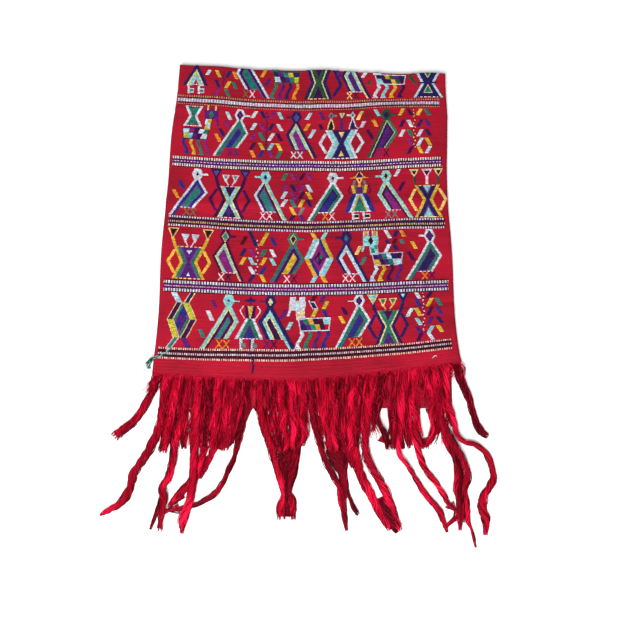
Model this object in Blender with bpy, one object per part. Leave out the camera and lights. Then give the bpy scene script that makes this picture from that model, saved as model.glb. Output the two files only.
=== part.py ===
"""A handwoven throw folded in half and laid flat, with a fringe of loose locks at each end.

Metres, +Z up, resting on z = 0. The fold is at +Y and the fringes are at -Y. The cloth is one
sheet: along it, 0 is the hem of the upper layer, the fold is FOLD_AT away, and the hem of the
under layer UNDER_LENGTH further.
Plan positions are measured from the middle of the upper hem, and MIDDLE moves them to the
origin, which is under the middle of the whole object's box.
"""

import collections
import math

import bpy
import numpy as np

# The cloth, as woven
THICK = 0.0016
FOLD_AT = 0.503
UNDER_LENGTH = 0.546
HALF_AT_HEM = 0.2290
HALF_AT_FOLD = 0.2170

# How it lies
MIDDLE = np.array([-0.0108, 0.1309])
LAYER_GAP = 0.0005
FOLD_RADIUS = 0.0026
FOLD_EASE = 0.035
HEM_MIDDLE = -0.007
BOW = 0.0042
BOW_LENGTH = 0.42
FOLD_SHIFT = 0.006
UNDER_SHIFT = -0.009
LEFT_LIFT = 0.009
RIGHT_LIFT = 0.005
HEM_CORNER_LIFT = 0.0215
HEM_CORNER_REACH = 0.06
HEM_SAG_AT = -0.16
LIFT_POWER = 1.45

# How finely the sheet is cut
COLUMNS = 30
UPPER_ROWS = 44
FOLD_ROWS = 8
UNDER_ROWS = 12

# The fringe
GAP = 0.0003
STRIP_DEPTH = 0.006
LOCK_HEIGHT = 0.0024
TIP_HEIGHT = 0.0012
UPPER_LOCKS_AT = 0.0029
STEP_ALONG_LOCK = 0.010
UPPER_ROOT = 14
LOWER_ROOT = 12

# Ridges pressed into the upper layer: how far along it and how far across (1 is the right edge)
# the middle lies, how far each reaches, how high it stands, and how much it slants
Crease = collections.namedtuple("Crease", "along across length width height slant")
CREASES = (
    Crease(along=0.272, across=0.00, length=1.40, width=0.012, height=0.0026, slant=0.004),
    Crease(along=0.292, across=-0.55, length=0.60, width=0.016, height=0.0016, slant=0.006),
    Crease(along=0.100, across=0.62, length=0.42, width=0.013, height=0.0024, slant=0.008),
    Crease(along=0.425, across=0.45, length=0.45, width=0.014, height=0.0018, slant=-0.010),
    Crease(along=0.470, across=-0.70, length=0.50, width=0.012, height=0.0022, slant=-0.008),
    Crease(along=0.160, across=-0.30, length=0.80, width=0.030, height=0.0014, slant=0.012),
)

# The locks' places are in mm from the middle of the upper hem. A short lock hangs in one bend:
# its place across the hem, then its place and width at the knee, halfway down, and at the tip,
# and how far down it reaches.
Short = collections.namedtuple("Short", "root knee knee_width tip tip_width reach")
UPPER_SHORT = (
    Short(root=-192, knee=-198, knee_width=10, tip=-209, tip_width=13, reach=-115),
    Short(root=-146, knee=-146, knee_width=12, tip=-149, tip_width=10, reach=-106),
    Short(root=-131, knee=-133, knee_width=12, tip=-138, tip_width=9, reach=-110),
    Short(root=-115, knee=-119, knee_width=12, tip=-126, tip_width=9, reach=-110),
    Short(root=-100, knee=-105, knee_width=11, tip=-115, tip_width=8, reach=-112),
    Short(root=-85, knee=-92, knee_width=11, tip=-104, tip_width=8, reach=-108),
    Short(root=-54, knee=-50, knee_width=12, tip=-40, tip_width=8, reach=-106),
    Short(root=-39, knee=-35, knee_width=12, tip=-29, tip_width=9, reach=-113),
    Short(root=-24, knee=-21, knee_width=12, tip=-19, tip_width=9, reach=-113),
    Short(root=-9, knee=-5, knee_width=13, tip=-6, tip_width=9, reach=-105),
    Short(root=22, knee=24, knee_width=12, tip=32, tip_width=8, reach=-108),
    Short(root=37, knee=38, knee_width=12, tip=42, tip_width=8, reach=-113),
    Short(root=52, knee=51, knee_width=12, tip=52, tip_width=9, reach=-117),
    Short(root=68, knee=64, knee_width=11, tip=62, tip_width=9, reach=-113),
    Short(root=83, knee=76, knee_width=9, tip=73, tip_width=8, reach=-106),
    Short(root=114, knee=103, knee_width=11, tip=119, tip_width=8, reach=-111),
    Short(root=129, knee=128, knee_width=8, tip=127, tip_width=8, reach=-110),
    Short(root=160, knee=156, knee_width=12, tip=166, tip_width=9, reach=-110),
    Short(root=175, knee=184, knee_width=8, tip=176, tip_width=8, reach=-109),
)
LOWER_SHORT = (
    Short(root=-212, knee=-210, knee_width=11, tip=-212, tip_width=10, reach=-112),
    Short(root=-181, knee=-180, knee_width=12, tip=-179, tip_width=8, reach=-109),
    Short(root=-152, knee=-150, knee_width=11, tip=-151, tip_width=8, reach=-109),
    Short(root=-121, knee=-119, knee_width=10, tip=-121, tip_width=8, reach=-113),
    Short(root=-107, knee=-107, knee_width=9, tip=-111, tip_width=7, reach=-105),
    Short(root=-63, knee=-56, knee_width=10, tip=-49, tip_width=8, reach=-110),
    Short(root=-49, knee=-44, knee_width=10, tip=-40, tip_width=7, reach=-113),
    Short(root=-34, knee=-32, knee_width=10, tip=-30, tip_width=8, reach=-117),
    Short(root=-20, knee=-21, knee_width=9, tip=-22, tip_width=7, reach=-86),
    Short(root=10, knee=17, knee_width=10, tip=25, tip_width=8, reach=-109),
    Short(root=25, knee=30, knee_width=10, tip=36, tip_width=9, reach=-113),
    Short(root=41, knee=42, knee_width=10, tip=42, tip_width=8, reach=-90),
    Short(root=87, knee=87, knee_width=9, tip=86, tip_width=8, reach=-90),
    Short(root=99, knee=97, knee_width=8, tip=98, tip_width=7, reach=-84),
    Short(root=128, knee=128, knee_width=9, tip=124, tip_width=8, reach=-110),
    Short(root=140, knee=139, knee_width=10, tip=137, tip_width=8, reach=-109),
    Short(root=182, knee=185, knee_width=8, tip=174, tip_width=8, reach=-108),
    Short(root=207, knee=209, knee_width=7, tip=211, tip_width=6, reach=-77),
)

# A long lock winds through its stations: across, up the plan, and its width there. An upper one
# lies on the lower ones until it has come down to the floor at "down".
Lock = collections.namedtuple("Lock", "down stations")
UPPER_LONG = (
    Lock(down=-60, stations=(
        (-222, 0, 14), (-226, -13, 15), (-229, -28, 14), (-237, -44, 13), (-245, -58, 13),
        (-257, -72, 14), (-270, -82, 15), (-281, -93, 15))),
    Lock(down=-150, stations=(
        (-207, -2, 14), (-210, -28, 14), (-214, -69, 14), (-219, -89, 15), (-232, -116, 15),
        (-248, -141, 14), (-252, -155, 15), (-256, -170, 15), (-270, -188, 12), (-295, -201, 6))),
    Lock(down=-228, stations=(
        (-176, -3, 14), (-178, -31, 13), (-189, -85, 12), (-194, -126, 12), (-198, -148, 13),
        (-204, -156, 11), (-207, -165, 11), (-204, -181, 13), (-206, -194, 11), (-209, -224, 8))),
    Lock(down=-228, stations=(
        (-161, -4, 14), (-161, -74, 14), (-163, -139, 14), (-163, -153, 15), (-167, -181, 14),
        (-173, -201, 17), (-176, -211, 17), (-177, -227, 5))),
    Lock(down=-155, stations=(
        (-69, -7, 14), (-71, -31, 12), (-70, -48, 13), (-63, -76, 13), (-53, -105, 13),
        (-43, -139, 12), (-37, -156, 10), (-34, -170, 7), (-34, -181, 11), (-37, -192, 14),
        (-36, -208, 12))),
    Lock(down=-155, stations=(
        (7, -6, 14), (9, -56, 12), (11, -76, 11), (20, -106, 10), (31, -134, 11), (46, -161, 10),
        (48, -175, 11), (52, -192, 12), (57, -223, 5))),
    Lock(down=-155, stations=(
        (98, 3, 14), (93, -28, 12), (88, -56, 13), (86, -82, 13), (85, -110, 13), (90, -129, 13),
        (110, -163, 14), (117, -179, 14), (128, -212, 13), (134, -223, 8))),
    Lock(down=-150, stations=(
        (144, 7, 14), (140, -31, 12), (136, -82, 11), (133, -103, 9), (135, -120, 7), (145, -132, 7),
        (161, -158, 8), (169, -171, 9), (188, -195, 10), (193, -206, 10), (200, -225, 5))),
    Lock(down=-170, stations=(
        (190, 14, 14), (191, -16, 12), (193, -45, 12), (196, -67, 12), (211, -98, 12), (225, -122, 10),
        (230, -137, 10), (231, -151, 12), (227, -165, 10), (229, -179, 9), (229, -196, 9),
        (230, -210, 8), (234, -220, 4), (239, -246, 4))),
    Lock(down=-115, stations=(
        (206, 16, 14), (206, -16, 12), (207, -42, 12), (212, -60, 11), (220, -90, 9), (231, -99, 8),
        (244, -103, 8), (261, -117, 11), (269, -142, 10), (268, -154, 12), (256, -171, 12),
        (252, -183, 15), (252, -196, 16), (255, -208, 14), (253, -229, 7))),
    Lock(down=-45, stations=(
        (221, 18, 14), (225, -1, 16), (232, -20, 16), (238, -35, 13), (245, -63, 11), (250, -77, 13),
        (256, -85, 14), (265, -90, 9))),
)
LOWER_LONG = (
    Lock(down=None, stations=(
        (-197, -44, 13), (-194, -67, 12), (-193, -90, 11), (-197, -137, 10), (-204, -156, 9),
        (-207, -174, 9), (-213, -195, 7), (-223, -221, 5))),
    Lock(down=None, stations=(
        (-167, -44, 13), (-165, -67, 12), (-165, -136, 11), (-168, -153, 11), (-182, -173, 13),
        (-192, -183, 9))),
    Lock(down=None, stations=(
        (-136, -44, 13), (-132, -74, 12), (-133, -103, 12), (-149, -137, 11), (-154, -151, 6))),
    Lock(down=None, stations=(
        (-92, -44, 13), (-92, -60, 13), (-99, -96, 10), (-106, -123, 8), (-113, -137, 9), (-123, -160, 8),
        (-132, -172, 10), (-152, -185, 8), (-175, -191, 6), (-196, -196, 5))),
    Lock(down=None, stations=(
        (-5, -44, 14), (-9, -87, 14), (-14, -107, 15), (-20, -142, 14), (-23, -156, 11), (-25, -168, 8),
        (-21, -179, 12), (-20, -192, 13), (-20, -208, 12))),
    Lock(down=None, stations=(
        (57, -44, 14), (56, -74, 12), (53, -103, 13), (54, -142, 12), (56, -156, 8), (58, -170, 6),
        (68, -193, 7), (74, -201, 5))),
    Lock(down=None, stations=(
        (73, -44, 14), (70, -74, 12), (69, -103, 14), (77, -143, 16), (91, -172, 15), (104, -197, 13),
        (119, -222, 9))),
    Lock(down=None, stations=(
        (152, -44, 9), (151, -55, 8), (152, -73, 9), (160, -107, 11), (170, -135, 11), (185, -156, 10),
        (196, -174, 9), (207, -193, 7))),
    Lock(down=None, stations=(
        (194, -44, 12), (195, -64, 11), (205, -103, 11), (213, -117, 10), (217, -132, 9),
        (217, -143, 10), (214, -165, 9), (217, -178, 8), (218, -206, 8), (218, -223, 5))),
)


def clear_scene():
    for old in list(bpy.data.objects):
        bpy.data.objects.remove(old)


def finish(name, colour, roughness, sheen):
    """A plain cotton material."""
    material = bpy.data.materials.new(name)
    material.use_nodes = True
    shader = material.node_tree.nodes["Principled BSDF"]
    shader.inputs["Base Color"].default_value = (*colour, 1)
    shader.inputs["Roughness"].default_value = roughness
    shader.inputs["Metallic"].default_value = 0
    shader.inputs["Sheen Weight"].default_value = sheen
    return material


def new_object(name, points, faces, material):
    """An object whose plan positions are moved to the box's middle."""
    points = np.array(points, float)
    points[:, :2] -= MIDDLE
    mesh = bpy.data.meshes.new(name)
    mesh.from_pydata(points.tolist(), [], faces)
    mesh.materials.append(material)
    made = bpy.data.objects.new(name, mesh)
    bpy.context.scene.collection.objects.link(made)
    return made


def half_width(along):
    """The half width: widest at the upper hem, drawn in towards the fold and even beyond it."""
    share = np.clip(along / FOLD_AT, 0, 1)
    return HALF_AT_HEM + (HALF_AT_FOLD - HALF_AT_HEM) * share**0.6


def bend(along):
    """How far to the left the cloth bows between its two ends."""
    share = np.clip(along / BOW_LENGTH, 0, 1)
    return -BOW * np.sin(math.pi * share) ** 0.6


def weft_lift(along, across):
    """How far a weft line is pushed up the plan at its sides, more at the hem's right corner."""
    near_hem = np.exp(-along / HEM_CORNER_REACH)
    lowest = HEM_SAG_AT * near_hem
    left = LEFT_LIFT * (np.clip(lowest - across, 0, 2) / (1 + lowest)) ** LIFT_POWER
    right = (np.clip(across - lowest, 0, 2) / (1 - lowest)) ** LIFT_POWER
    return left + right * (RIGHT_LIFT + HEM_CORNER_LIFT * near_hem)


def fold_edge(across):
    """How far up the plan the fold lies: higher at the left, with small waves."""
    waves = 0.0014 * np.sin(7 * across + 0.8) + 0.0005 * np.sin(16 * across)
    return FOLD_AT + HEM_MIDDLE - 0.006 * across + 0.005 * np.clip(-across, 0, 1) ** 2 + waves


def relief(along, across):
    """How far the upper layer stands off the under one: its creases, and broad soft lumps."""
    lumps = 0.0005 * (1 + np.sin(21 * along + 3 * across) * np.sin(4.3 * across - 9 * along + 1))
    height = lumps
    for c in CREASES:
        line = c.along + c.slant * across
        along_share = (along - line) / c.width
        across_share = (across - c.across) / c.length
        height = height + c.height * np.exp(-(along_share**2) - across_share**4)
    hem = np.clip(along / 0.03, 0, 1)
    return height * hem


def upper_layer(along, across):
    """The middle of the upper layer's thickness, from the hem to where the fold begins."""
    straight = HEM_MIDDLE + along + weft_lift(along, across)
    up = np.clip((along - 0.62 * FOLD_AT) / (0.38 * FOLD_AT), 0, 1) ** 2
    end = fold_edge(across) - FOLD_RADIUS
    y = straight + up * (end - (HEM_MIDDLE + FOLD_AT + weft_lift(FOLD_AT, across)))
    x = FOLD_SHIFT * along / FOLD_AT + across * half_width(along)
    x = x + 0.0012 * np.sin(31 * along + 2) * across + 0.0008 * np.sin(14 * along) + bend(along)
    rest = 1.5 * THICK + LAYER_GAP
    fold_top = 0.5 * THICK + 2 * FOLD_RADIUS
    rise = np.clip(1 - (FOLD_AT - along) / FOLD_EASE, 0, 1)
    rise = rise * rise * (3 - 2 * rise)
    z = rest + relief(along, across) * (1 - rise) + (fold_top - rest) * rise
    return x, y, z


def fold(turn, across):
    """The half round of the fold: turn goes from 0 at the upper layer to 1 at the under layer."""
    x, y, _ = upper_layer(np.full_like(across, FOLD_AT), across)
    angle = math.pi * turn
    z = 0.5 * THICK + FOLD_RADIUS * (1 + math.cos(angle))
    return x, y + FOLD_RADIUS * math.sin(angle), np.full_like(across, z)


def under_layer(back, across):
    """The middle of the under layer's thickness; back is how far it has come from the fold."""
    x, y, _ = upper_layer(np.full_like(across, FOLD_AT), across)
    share = back / UNDER_LENGTH
    end = HEM_MIDDLE + FOLD_AT - UNDER_LENGTH
    x = x + UNDER_SHIFT * share
    y = y * (1 - share) + end * share
    return x, y, np.full_like(across, 0.5 * THICK)


def make_cloth(material):
    """One sheet through both layers and the fold, thickened to both sides of its middle."""
    across = np.linspace(-1, 1, COLUMNS + 1)
    lines = [upper_layer(np.full_like(across, a), across) for a in np.linspace(0, FOLD_AT, UPPER_ROWS + 1)]
    lines += [fold(turn, across) for turn in np.arange(1, FOLD_ROWS + 1) / FOLD_ROWS]
    lines += [under_layer(back, across) for back in np.linspace(0, UNDER_LENGTH, UNDER_ROWS + 1)[1:]]
    points = np.concatenate([np.stack(line, axis=1) for line in lines])
    wide = COLUMNS + 1
    faces = [
        (row * wide + col, row * wide + col + 1, (row + 1) * wide + col + 1, (row + 1) * wide + col)
        for row in range(len(lines) - 1)
        for col in range(COLUMNS)
    ]
    cloth = new_object("cloth", points, faces, material)
    thicken = cloth.modifiers.new("thickness", "SOLIDIFY")
    thicken.thickness = THICK
    thicken.offset = 0
    cloth.data.shade_smooth()
    return cloth


def smooth_line(points):
    """A Catmull-Rom curve through the points, cut into even steps: places, widths and directions."""
    p = np.array(points, float) / 1000
    p = np.concatenate([[2 * p[0] - p[1]], p, [2 * p[-1] - p[-2]]])
    t = np.linspace(0, 1, 12, endpoint=False)[:, None]
    pieces = []
    for a, b, c, d in zip(p, p[1:], p[2:], p[3:]):
        pieces.append(0.5 * (2 * b + (c - a) * t + (2 * a - 5 * b + 4 * c - d) * t**2 + (3 * b - a - 3 * c + d) * t**3))
    line = np.concatenate(pieces + [p[-2:-1]])
    run = np.concatenate([[0], np.cumsum(np.linalg.norm(np.diff(line[:, :2], axis=0), axis=1))])
    at = np.linspace(0, run[-1], round(run[-1] / STEP_ALONG_LOCK) + 1)
    x, y, width = (np.interp(at, run, line[:, k]) for k in range(3))
    places = np.stack([x, y], axis=1)
    way = np.gradient(places, axis=0)
    return places, width, way / np.linalg.norm(way, axis=1)[:, None]


def all_locks(short, long, hem, widest_root):
    """The long locks and the short ones, which are given their stations here, in order along the hem."""
    locks = list(long)
    for lock in short:
        start = (hem(lock.root / 1000) - STRIP_DEPTH) * 1000
        root_width = min(widest_root, lock.knee_width + 2)
        knee = (lock.knee, (start + lock.reach) / 2, lock.knee_width)
        tip = (lock.tip, lock.reach, lock.tip_width)
        locks.append(Lock(None, ((lock.root, start, root_width), knee, tip)))
    return sorted(locks, key=lambda lock: lock.stations[0][0])


def lock_rings(lock, root, floor_at):
    """The four corners of a lock at each step from its root quad, which is the strip's own."""
    line, width, way = smooth_line(lock.stations)
    share = np.linspace(0, 1, len(line))
    height = np.minimum(LOCK_HEIGHT, LOCK_HEIGHT + (TIP_HEIGHT - LOCK_HEIGHT) * (share - 0.7) / 0.3)
    side = np.stack([-way[:, 1], way[:, 0]], axis=1) * width[:, None] / 2
    low = np.full(len(line), floor_at)
    if lock.down is not None:
        down = np.clip((-line[:, 1] * 1000 + lock.down + 30) / 30, 0, 1)
        low = floor_at * (1 - down)
    rings = [root]
    for step in range(1, len(line)):
        left, right = line[step] - side[step], line[step] + side[step]
        bottom, top = low[step], low[step] + height[step]
        rings.append([(*left, bottom), (*right, bottom), (*right, top), (*left, top)])
    return rings


def make_fringe(name, locks, hem, low, locks_at, ends, material):
    """A narrow strip along the hem with the locks growing from its front face.

    hem gives the plan's y along the hem for an x, low is the strip's underside, locks_at is the
    underside of the locks, and ends are the strip's ends across the hem.
    """
    cuts = [ends[0]]
    for lock in locks:
        middle, half = lock.stations[0][0] / 1000, lock.stations[0][2] / 2000
        cuts += [middle - half, middle + half]
    cuts.append(ends[1])
    points, faces = [], []
    for x in cuts:
        back = hem(x) - GAP
        front = back - STRIP_DEPTH
        points += [(x, back, low), (x, back, low + THICK), (x, front, low), (x, front, low + THICK)]
    last = 4 * (len(cuts) - 1)
    faces += [(0, 2, 3, 1), (last, last + 1, last + 3, last + 2)]
    for cell in range(len(cuts) - 1):
        a, b = 4 * cell, 4 * cell + 4
        faces += [(a, a + 1, b + 1, b), (a + 1, a + 3, b + 3, b + 1), (a, b, b + 2, a + 2)]
        if cell % 2 == 0:
            faces.append((a + 2, b + 2, b + 3, a + 3))
    for number, lock in enumerate(locks):
        a = 4 * (2 * number + 1)
        ring = [a + 2, a + 6, a + 7, a + 3]
        for corners in lock_rings(lock, [points[i] for i in ring], locks_at)[1:]:
            new = list(range(len(points), len(points) + 4))
            points += corners
            faces += [(ring[k], ring[(k + 1) % 4], new[(k + 1) % 4], new[k]) for k in range(4)]
            ring = new
        faces.append(tuple(ring))
    return new_object(name, points, faces, material)


def upper_hem(x):
    """The upper layer's hem line."""
    across = np.clip(x / HALF_AT_HEM, -1, 1)
    return float(HEM_MIDDLE + weft_lift(np.float64(0), across))


def under_hem(x):
    """The under layer's hem line, which is straight."""
    return HEM_MIDDLE + FOLD_AT - UNDER_LENGTH


clear_scene()
cotton = finish("red_cotton", (0.52, 0.006, 0.03), 0.85, 0.2)
yarn = finish("red_yarn", (0.50, 0.004, 0.022), 0.55, 0.3)
make_cloth(cotton)
upper_locks = all_locks(UPPER_SHORT, UPPER_LONG, upper_hem, UPPER_ROOT)
lower_locks = all_locks(LOWER_SHORT, LOWER_LONG, under_hem, LOWER_ROOT)
make_fringe("fringe_upper", upper_locks, upper_hem, THICK + LAYER_GAP, UPPER_LOCKS_AT, (-0.2300, 0.2295), yarn)
make_fringe("fringe_lower", lower_locks, under_hem, 0.0, 0.0, (-0.2195, 0.2135), yarn)
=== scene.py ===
"""Looks of a handwoven throw: red cotton with brocaded figures, folded in half on a pale floor.

Everything follows the sheet: a place on it is (across, along) in mm, across from its middle and
along from the upper hem, over the fold and back to the under hem.
"""

import math
from collections import namedtuple

import bpy
import numpy as np
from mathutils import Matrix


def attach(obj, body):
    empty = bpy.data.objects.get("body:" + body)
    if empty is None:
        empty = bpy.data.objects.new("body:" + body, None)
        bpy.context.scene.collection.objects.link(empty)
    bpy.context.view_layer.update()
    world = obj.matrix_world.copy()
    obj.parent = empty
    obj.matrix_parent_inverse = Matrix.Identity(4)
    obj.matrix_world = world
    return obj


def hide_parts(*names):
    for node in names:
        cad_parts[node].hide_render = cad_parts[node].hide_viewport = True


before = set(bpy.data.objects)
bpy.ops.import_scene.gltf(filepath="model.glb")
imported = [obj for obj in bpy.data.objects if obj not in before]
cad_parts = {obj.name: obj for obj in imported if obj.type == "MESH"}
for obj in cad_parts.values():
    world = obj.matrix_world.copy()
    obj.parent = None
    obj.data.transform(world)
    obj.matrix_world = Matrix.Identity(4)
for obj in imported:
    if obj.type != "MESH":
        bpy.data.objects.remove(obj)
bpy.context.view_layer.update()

# The floor, the light and the camera
# A pale studio floor. The light is soft and comes mostly from the fringe's side, so that the creases
# show. The camera looks down, 12 degrees off the upright, as the photograph does.
CAMERA_AT = (0.0298, -0.2679, 1.035)
CAMERA_TILT = math.radians(12)
LENS_MM = 39.375
FLOOR_HALF = 3.0


def place_camera():
    """The photograph's view."""
    data = bpy.data.cameras.new("camera")
    data.lens = LENS_MM
    data.sensor_width = 36
    data.clip_end = 30
    camera = bpy.data.objects.new("camera", data)
    camera.location = CAMERA_AT
    camera.rotation_euler = (CAMERA_TILT, 0, 0)
    bpy.context.scene.collection.objects.link(camera)
    bpy.context.scene.camera = camera


def add_light(name, place, size, power):
    """A white, square soft box at a place, turned towards the origin."""
    data = bpy.data.lights.new(name, "AREA")
    data.size = size
    data.energy = power
    lamp = bpy.data.objects.new(name, data)
    lamp.location = place
    x, y, z = place
    lamp.rotation_euler = (math.atan2(math.hypot(x, y), z), 0, math.atan2(x, -y))
    bpy.context.scene.collection.objects.link(lamp)


def new_material(name, **inputs):
    """A material, its node tree and its shader; in a socket's name an underscore stands for a space."""
    material = bpy.data.materials.new(name)
    material.use_nodes = True
    shader = material.node_tree.nodes["Principled BSDF"]
    for socket, value in inputs.items():
        shader.inputs[socket.replace("_", " ")].default_value = value
    return material, material.node_tree, shader


def lay_floor():
    """A matt, nearly white floor."""
    mesh = bpy.data.meshes.new("floor")
    h = FLOOR_HALF
    mesh.from_pydata([(-h, -h, 0), (h, -h, 0), (h, h, 0), (-h, h, 0)], [], [(0, 1, 2, 3)])
    paint, _, _ = new_material(
        "floor", Base_Color=(0.93, 0.93, 0.93, 1), Roughness=0.9, Specular_IOR_Level=0.1)
    mesh.materials.append(paint)
    floor = bpy.data.objects.new("floor", mesh)
    bpy.context.scene.collection.objects.link(floor)


place_camera()
lay_floor()
add_light("key", place=(-0.55, -1.8, 1.35), size=1.9, power=120)
add_light("top", place=(0.3, 0.5, 2.4), size=1.8, power=8)
world = bpy.data.worlds.new("studio")
world.use_nodes = True
background = world.node_tree.nodes["Background"]
background.inputs["Color"].default_value = (1, 1, 1, 1)
background.inputs["Strength"].default_value = 0.40
bpy.context.scene.world = world
bpy.context.scene.view_settings.view_transform = "Standard"

# The cloth
# One panel of red cotton off a narrow hand loom, warp and weft in the same red, folded in half. Both
# ends are a plain strip with heavier ribs. Its two layers and the fold lie where the solid's do. Lengths
# are in metres unless their name says mm.
THICK = 0.0016
FOLD_AT = 0.503
UNDER_LENGTH = 0.546
HALF_AT_HEM = 0.2290
HALF_AT_FOLD = 0.2170
HALF_MM = 223
MIDDLE = np.array([-0.0108, 0.1309, 0])
LAYER_GAP = 0.0005
FOLD_RADIUS = 0.0026
FOLD_EASE = 0.035
HEM_MIDDLE = -0.007
BOW = 0.0042
BOW_LENGTH = 0.42
FOLD_SHIFT = 0.006
UNDER_SHIFT = -0.009
LEFT_LIFT = 0.009
RIGHT_LIFT = 0.005
HEM_CORNER_LIFT = 0.0215
HEM_CORNER_REACH = 0.06
HEM_SAG_AT = -0.16
LIFT_POWER = 1.45
FOLD_PULLS_FROM = 0.62
WHOLE_LENGTH = FOLD_AT + math.pi * FOLD_RADIUS + UNDER_LENGTH
COLUMNS = 110
ROW_MM = 2.1
FOLD_ROWS = 15
UNDER_ROW_MM = 10
END_STRIP = 0.025
UNDER_STRIP = 0.040
UPPER_RIB = 0.0021
UNDER_RIB = 0.0030
RIB_HEIGHT = 0.00016
WEFT_PITCH = 0.0015

# Ridges and troughs pressed into the upper layer: where the middle lies along and across it (1 is the
# right edge), how far each reaches, its height and its slant
Crease = namedtuple("Crease", "along across length width height slant")
CREASES = (
    Crease(0.272, 0.00, 1.40, 0.012, 0.0026, 0.004), Crease(0.292, -0.55, 0.60, 0.016, 0.0016, 0.006),
    Crease(0.100, 0.62, 0.42, 0.013, 0.0024, 0.008), Crease(0.425, 0.45, 0.45, 0.014, 0.0018, -0.010),
    Crease(0.470, -0.70, 0.50, 0.012, 0.0022, -0.008), Crease(0.160, -0.30, 0.80, 0.030, 0.0014, 0.012),
    Crease(0.487, -0.95, 0.20, 0.005, 0.0014, 0.0), Crease(0.437, 0.66, 0.26, 0.006, 0.0014, 0.006),
    Crease(0.101, 0.72, 0.42, 0.0065, -0.0022, 0.008), Crease(0.213, 0.35, 0.50, 0.006, 0.0010, 0.003),
    Crease(0.271, -0.35, 0.80, 0.006, 0.0011, 0.004), Crease(0.425, -0.90, 0.25, 0.006, 0.0014, -0.004),
    Crease(0.045, -0.42, 0.32, 0.011, 0.0017, 0.004),
)

# How far, in mm, each woven band has been pushed along the cloth, at nine places across it
BANDS_AT = (0, 34, 135.5, 237.5, 338, 444.5, 503)
PUSHED_AT = (-200, -150, -100, -50, 0, 50, 100, 150, 200)
PUSHED = (
    (0, 0, 0, 0, 0, 0, 0, 0, 0),
    (-3.9, -3.1, -1.0, 0.1, 1.7, 1.7, 1.9, 1.7, 3.3),
    (-1.1, -0.8, -0.9, -0.5, 0.2, 0.1, 0.2, 1.2, 0.8),
    (1.2, 0.6, -0.9, -0.8, -1.6, -0.3, 0.5, 1.5, 0.1),
    (0.3, -0.6, -0.6, -0.7, 0.3, -1.3, -0.4, 1.7, 2.7),
    (0.6, -0.2, -1.6, -2.2, -2.8, -1.6, 2.4, 5.2, 3.8),
    (0, 0, 0, 0, 0, 0, 0, 0, 0),
)


def pushed(across_mm, along_mm):
    """How far a weft thread is pushed along: straight between the bands and between their nine places."""
    total = 0.0
    for band, row in zip(np.eye(len(BANDS_AT)), PUSHED):
        total = total + np.interp(along_mm, BANDS_AT, band) * np.interp(across_mm, PUSHED_AT, row)
    return total


def half_width(along):
    """Half the width: it falls from the hem to the fold as the share of the way to the power 0.6."""
    share = np.clip(along / FOLD_AT, 0, 1)
    return HALF_AT_HEM + (HALF_AT_FOLD - HALF_AT_HEM) * share**0.6


def bend(along):
    """How far to the left the cloth bows between its two ends: an arch of a sine to the power 0.6."""
    share = np.clip(along / BOW_LENGTH, 0, 1)
    return -BOW * np.sin(math.pi * share) ** 0.6


def weft_lift(along, across):
    """How far a weft thread curves up the plan at its two sides, most at the hem's right corner."""
    near_hem = np.exp(-along / HEM_CORNER_REACH)
    lowest = HEM_SAG_AT * near_hem
    left = LEFT_LIFT * (np.clip(lowest - across, 0, 2) / (1 + lowest)) ** LIFT_POWER
    right = (np.clip(across - lowest, 0, 2) / (1 - lowest)) ** LIFT_POWER
    return left + right * (RIGHT_LIFT + HEM_CORNER_LIFT * near_hem)


def fold_edge(across):
    """How far up the plan the fold lies: a slope, a lift at the left, and two small waves."""
    waves = 0.0014 * np.sin(7 * across + 0.8) + 0.0005 * np.sin(16 * across)
    return FOLD_AT + HEM_MIDDLE - 0.006 * across + 0.005 * np.clip(-across, 0, 1) ** 2 + waves


def relief(along, across):
    """How far the upper layer stands off the under one: bell-shaped creases over broad soft lumps."""
    height = 0.0005 * (1 + np.sin(21 * along + 3 * across) * np.sin(4.3 * across - 9 * along + 1))
    height = height + 0.0001 * np.sin(140 * along + 5 * across) * np.sin(11 * across + 60 * along)
    for c in CREASES:
        along_share = (along - c.along - c.slant * across) / c.width
        across_share = (across - c.across) / c.length
        height = height + c.height * np.exp(-(along_share**2) - across_share**4)
    return height * np.clip(along / 0.03, 0, 1)


def eased(share):
    """A share from 0 to 1 with a soft start and end: the square times three less twice the share."""
    return share * share * (3 - 2 * share)


def upper_layer(along, across):
    """The upper layer's middle: straight weft threads curved by weft_lift, eased into the fold. Its two
    sides waver by a millimetre or two."""
    along = np.clip(along + pushed(across * HALF_MM, along * 1000) / 1000, 0, FOLD_AT)
    straight = HEM_MIDDLE + along + weft_lift(along, across)
    pull = np.clip((along - FOLD_PULLS_FROM * FOLD_AT) / ((1 - FOLD_PULLS_FROM) * FOLD_AT), 0, 1) ** 2
    end = fold_edge(across) - FOLD_RADIUS
    y = straight + pull * (end - (HEM_MIDDLE + FOLD_AT + weft_lift(FOLD_AT, across)))
    x = FOLD_SHIFT * along / FOLD_AT + across * half_width(along)
    x = x + 0.0012 * np.sin(31 * along + 2) * across + 0.0008 * np.sin(14 * along) + bend(along)
    rest = 1.5 * THICK + LAYER_GAP
    fold_top = 0.5 * THICK + 2 * FOLD_RADIUS
    rise = eased(np.clip(1 - (FOLD_AT - along) / FOLD_EASE, 0, 1))
    z = rest + relief(along, across) * (1 - rise) + (fold_top - rest) * rise
    return x, y, z


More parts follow.
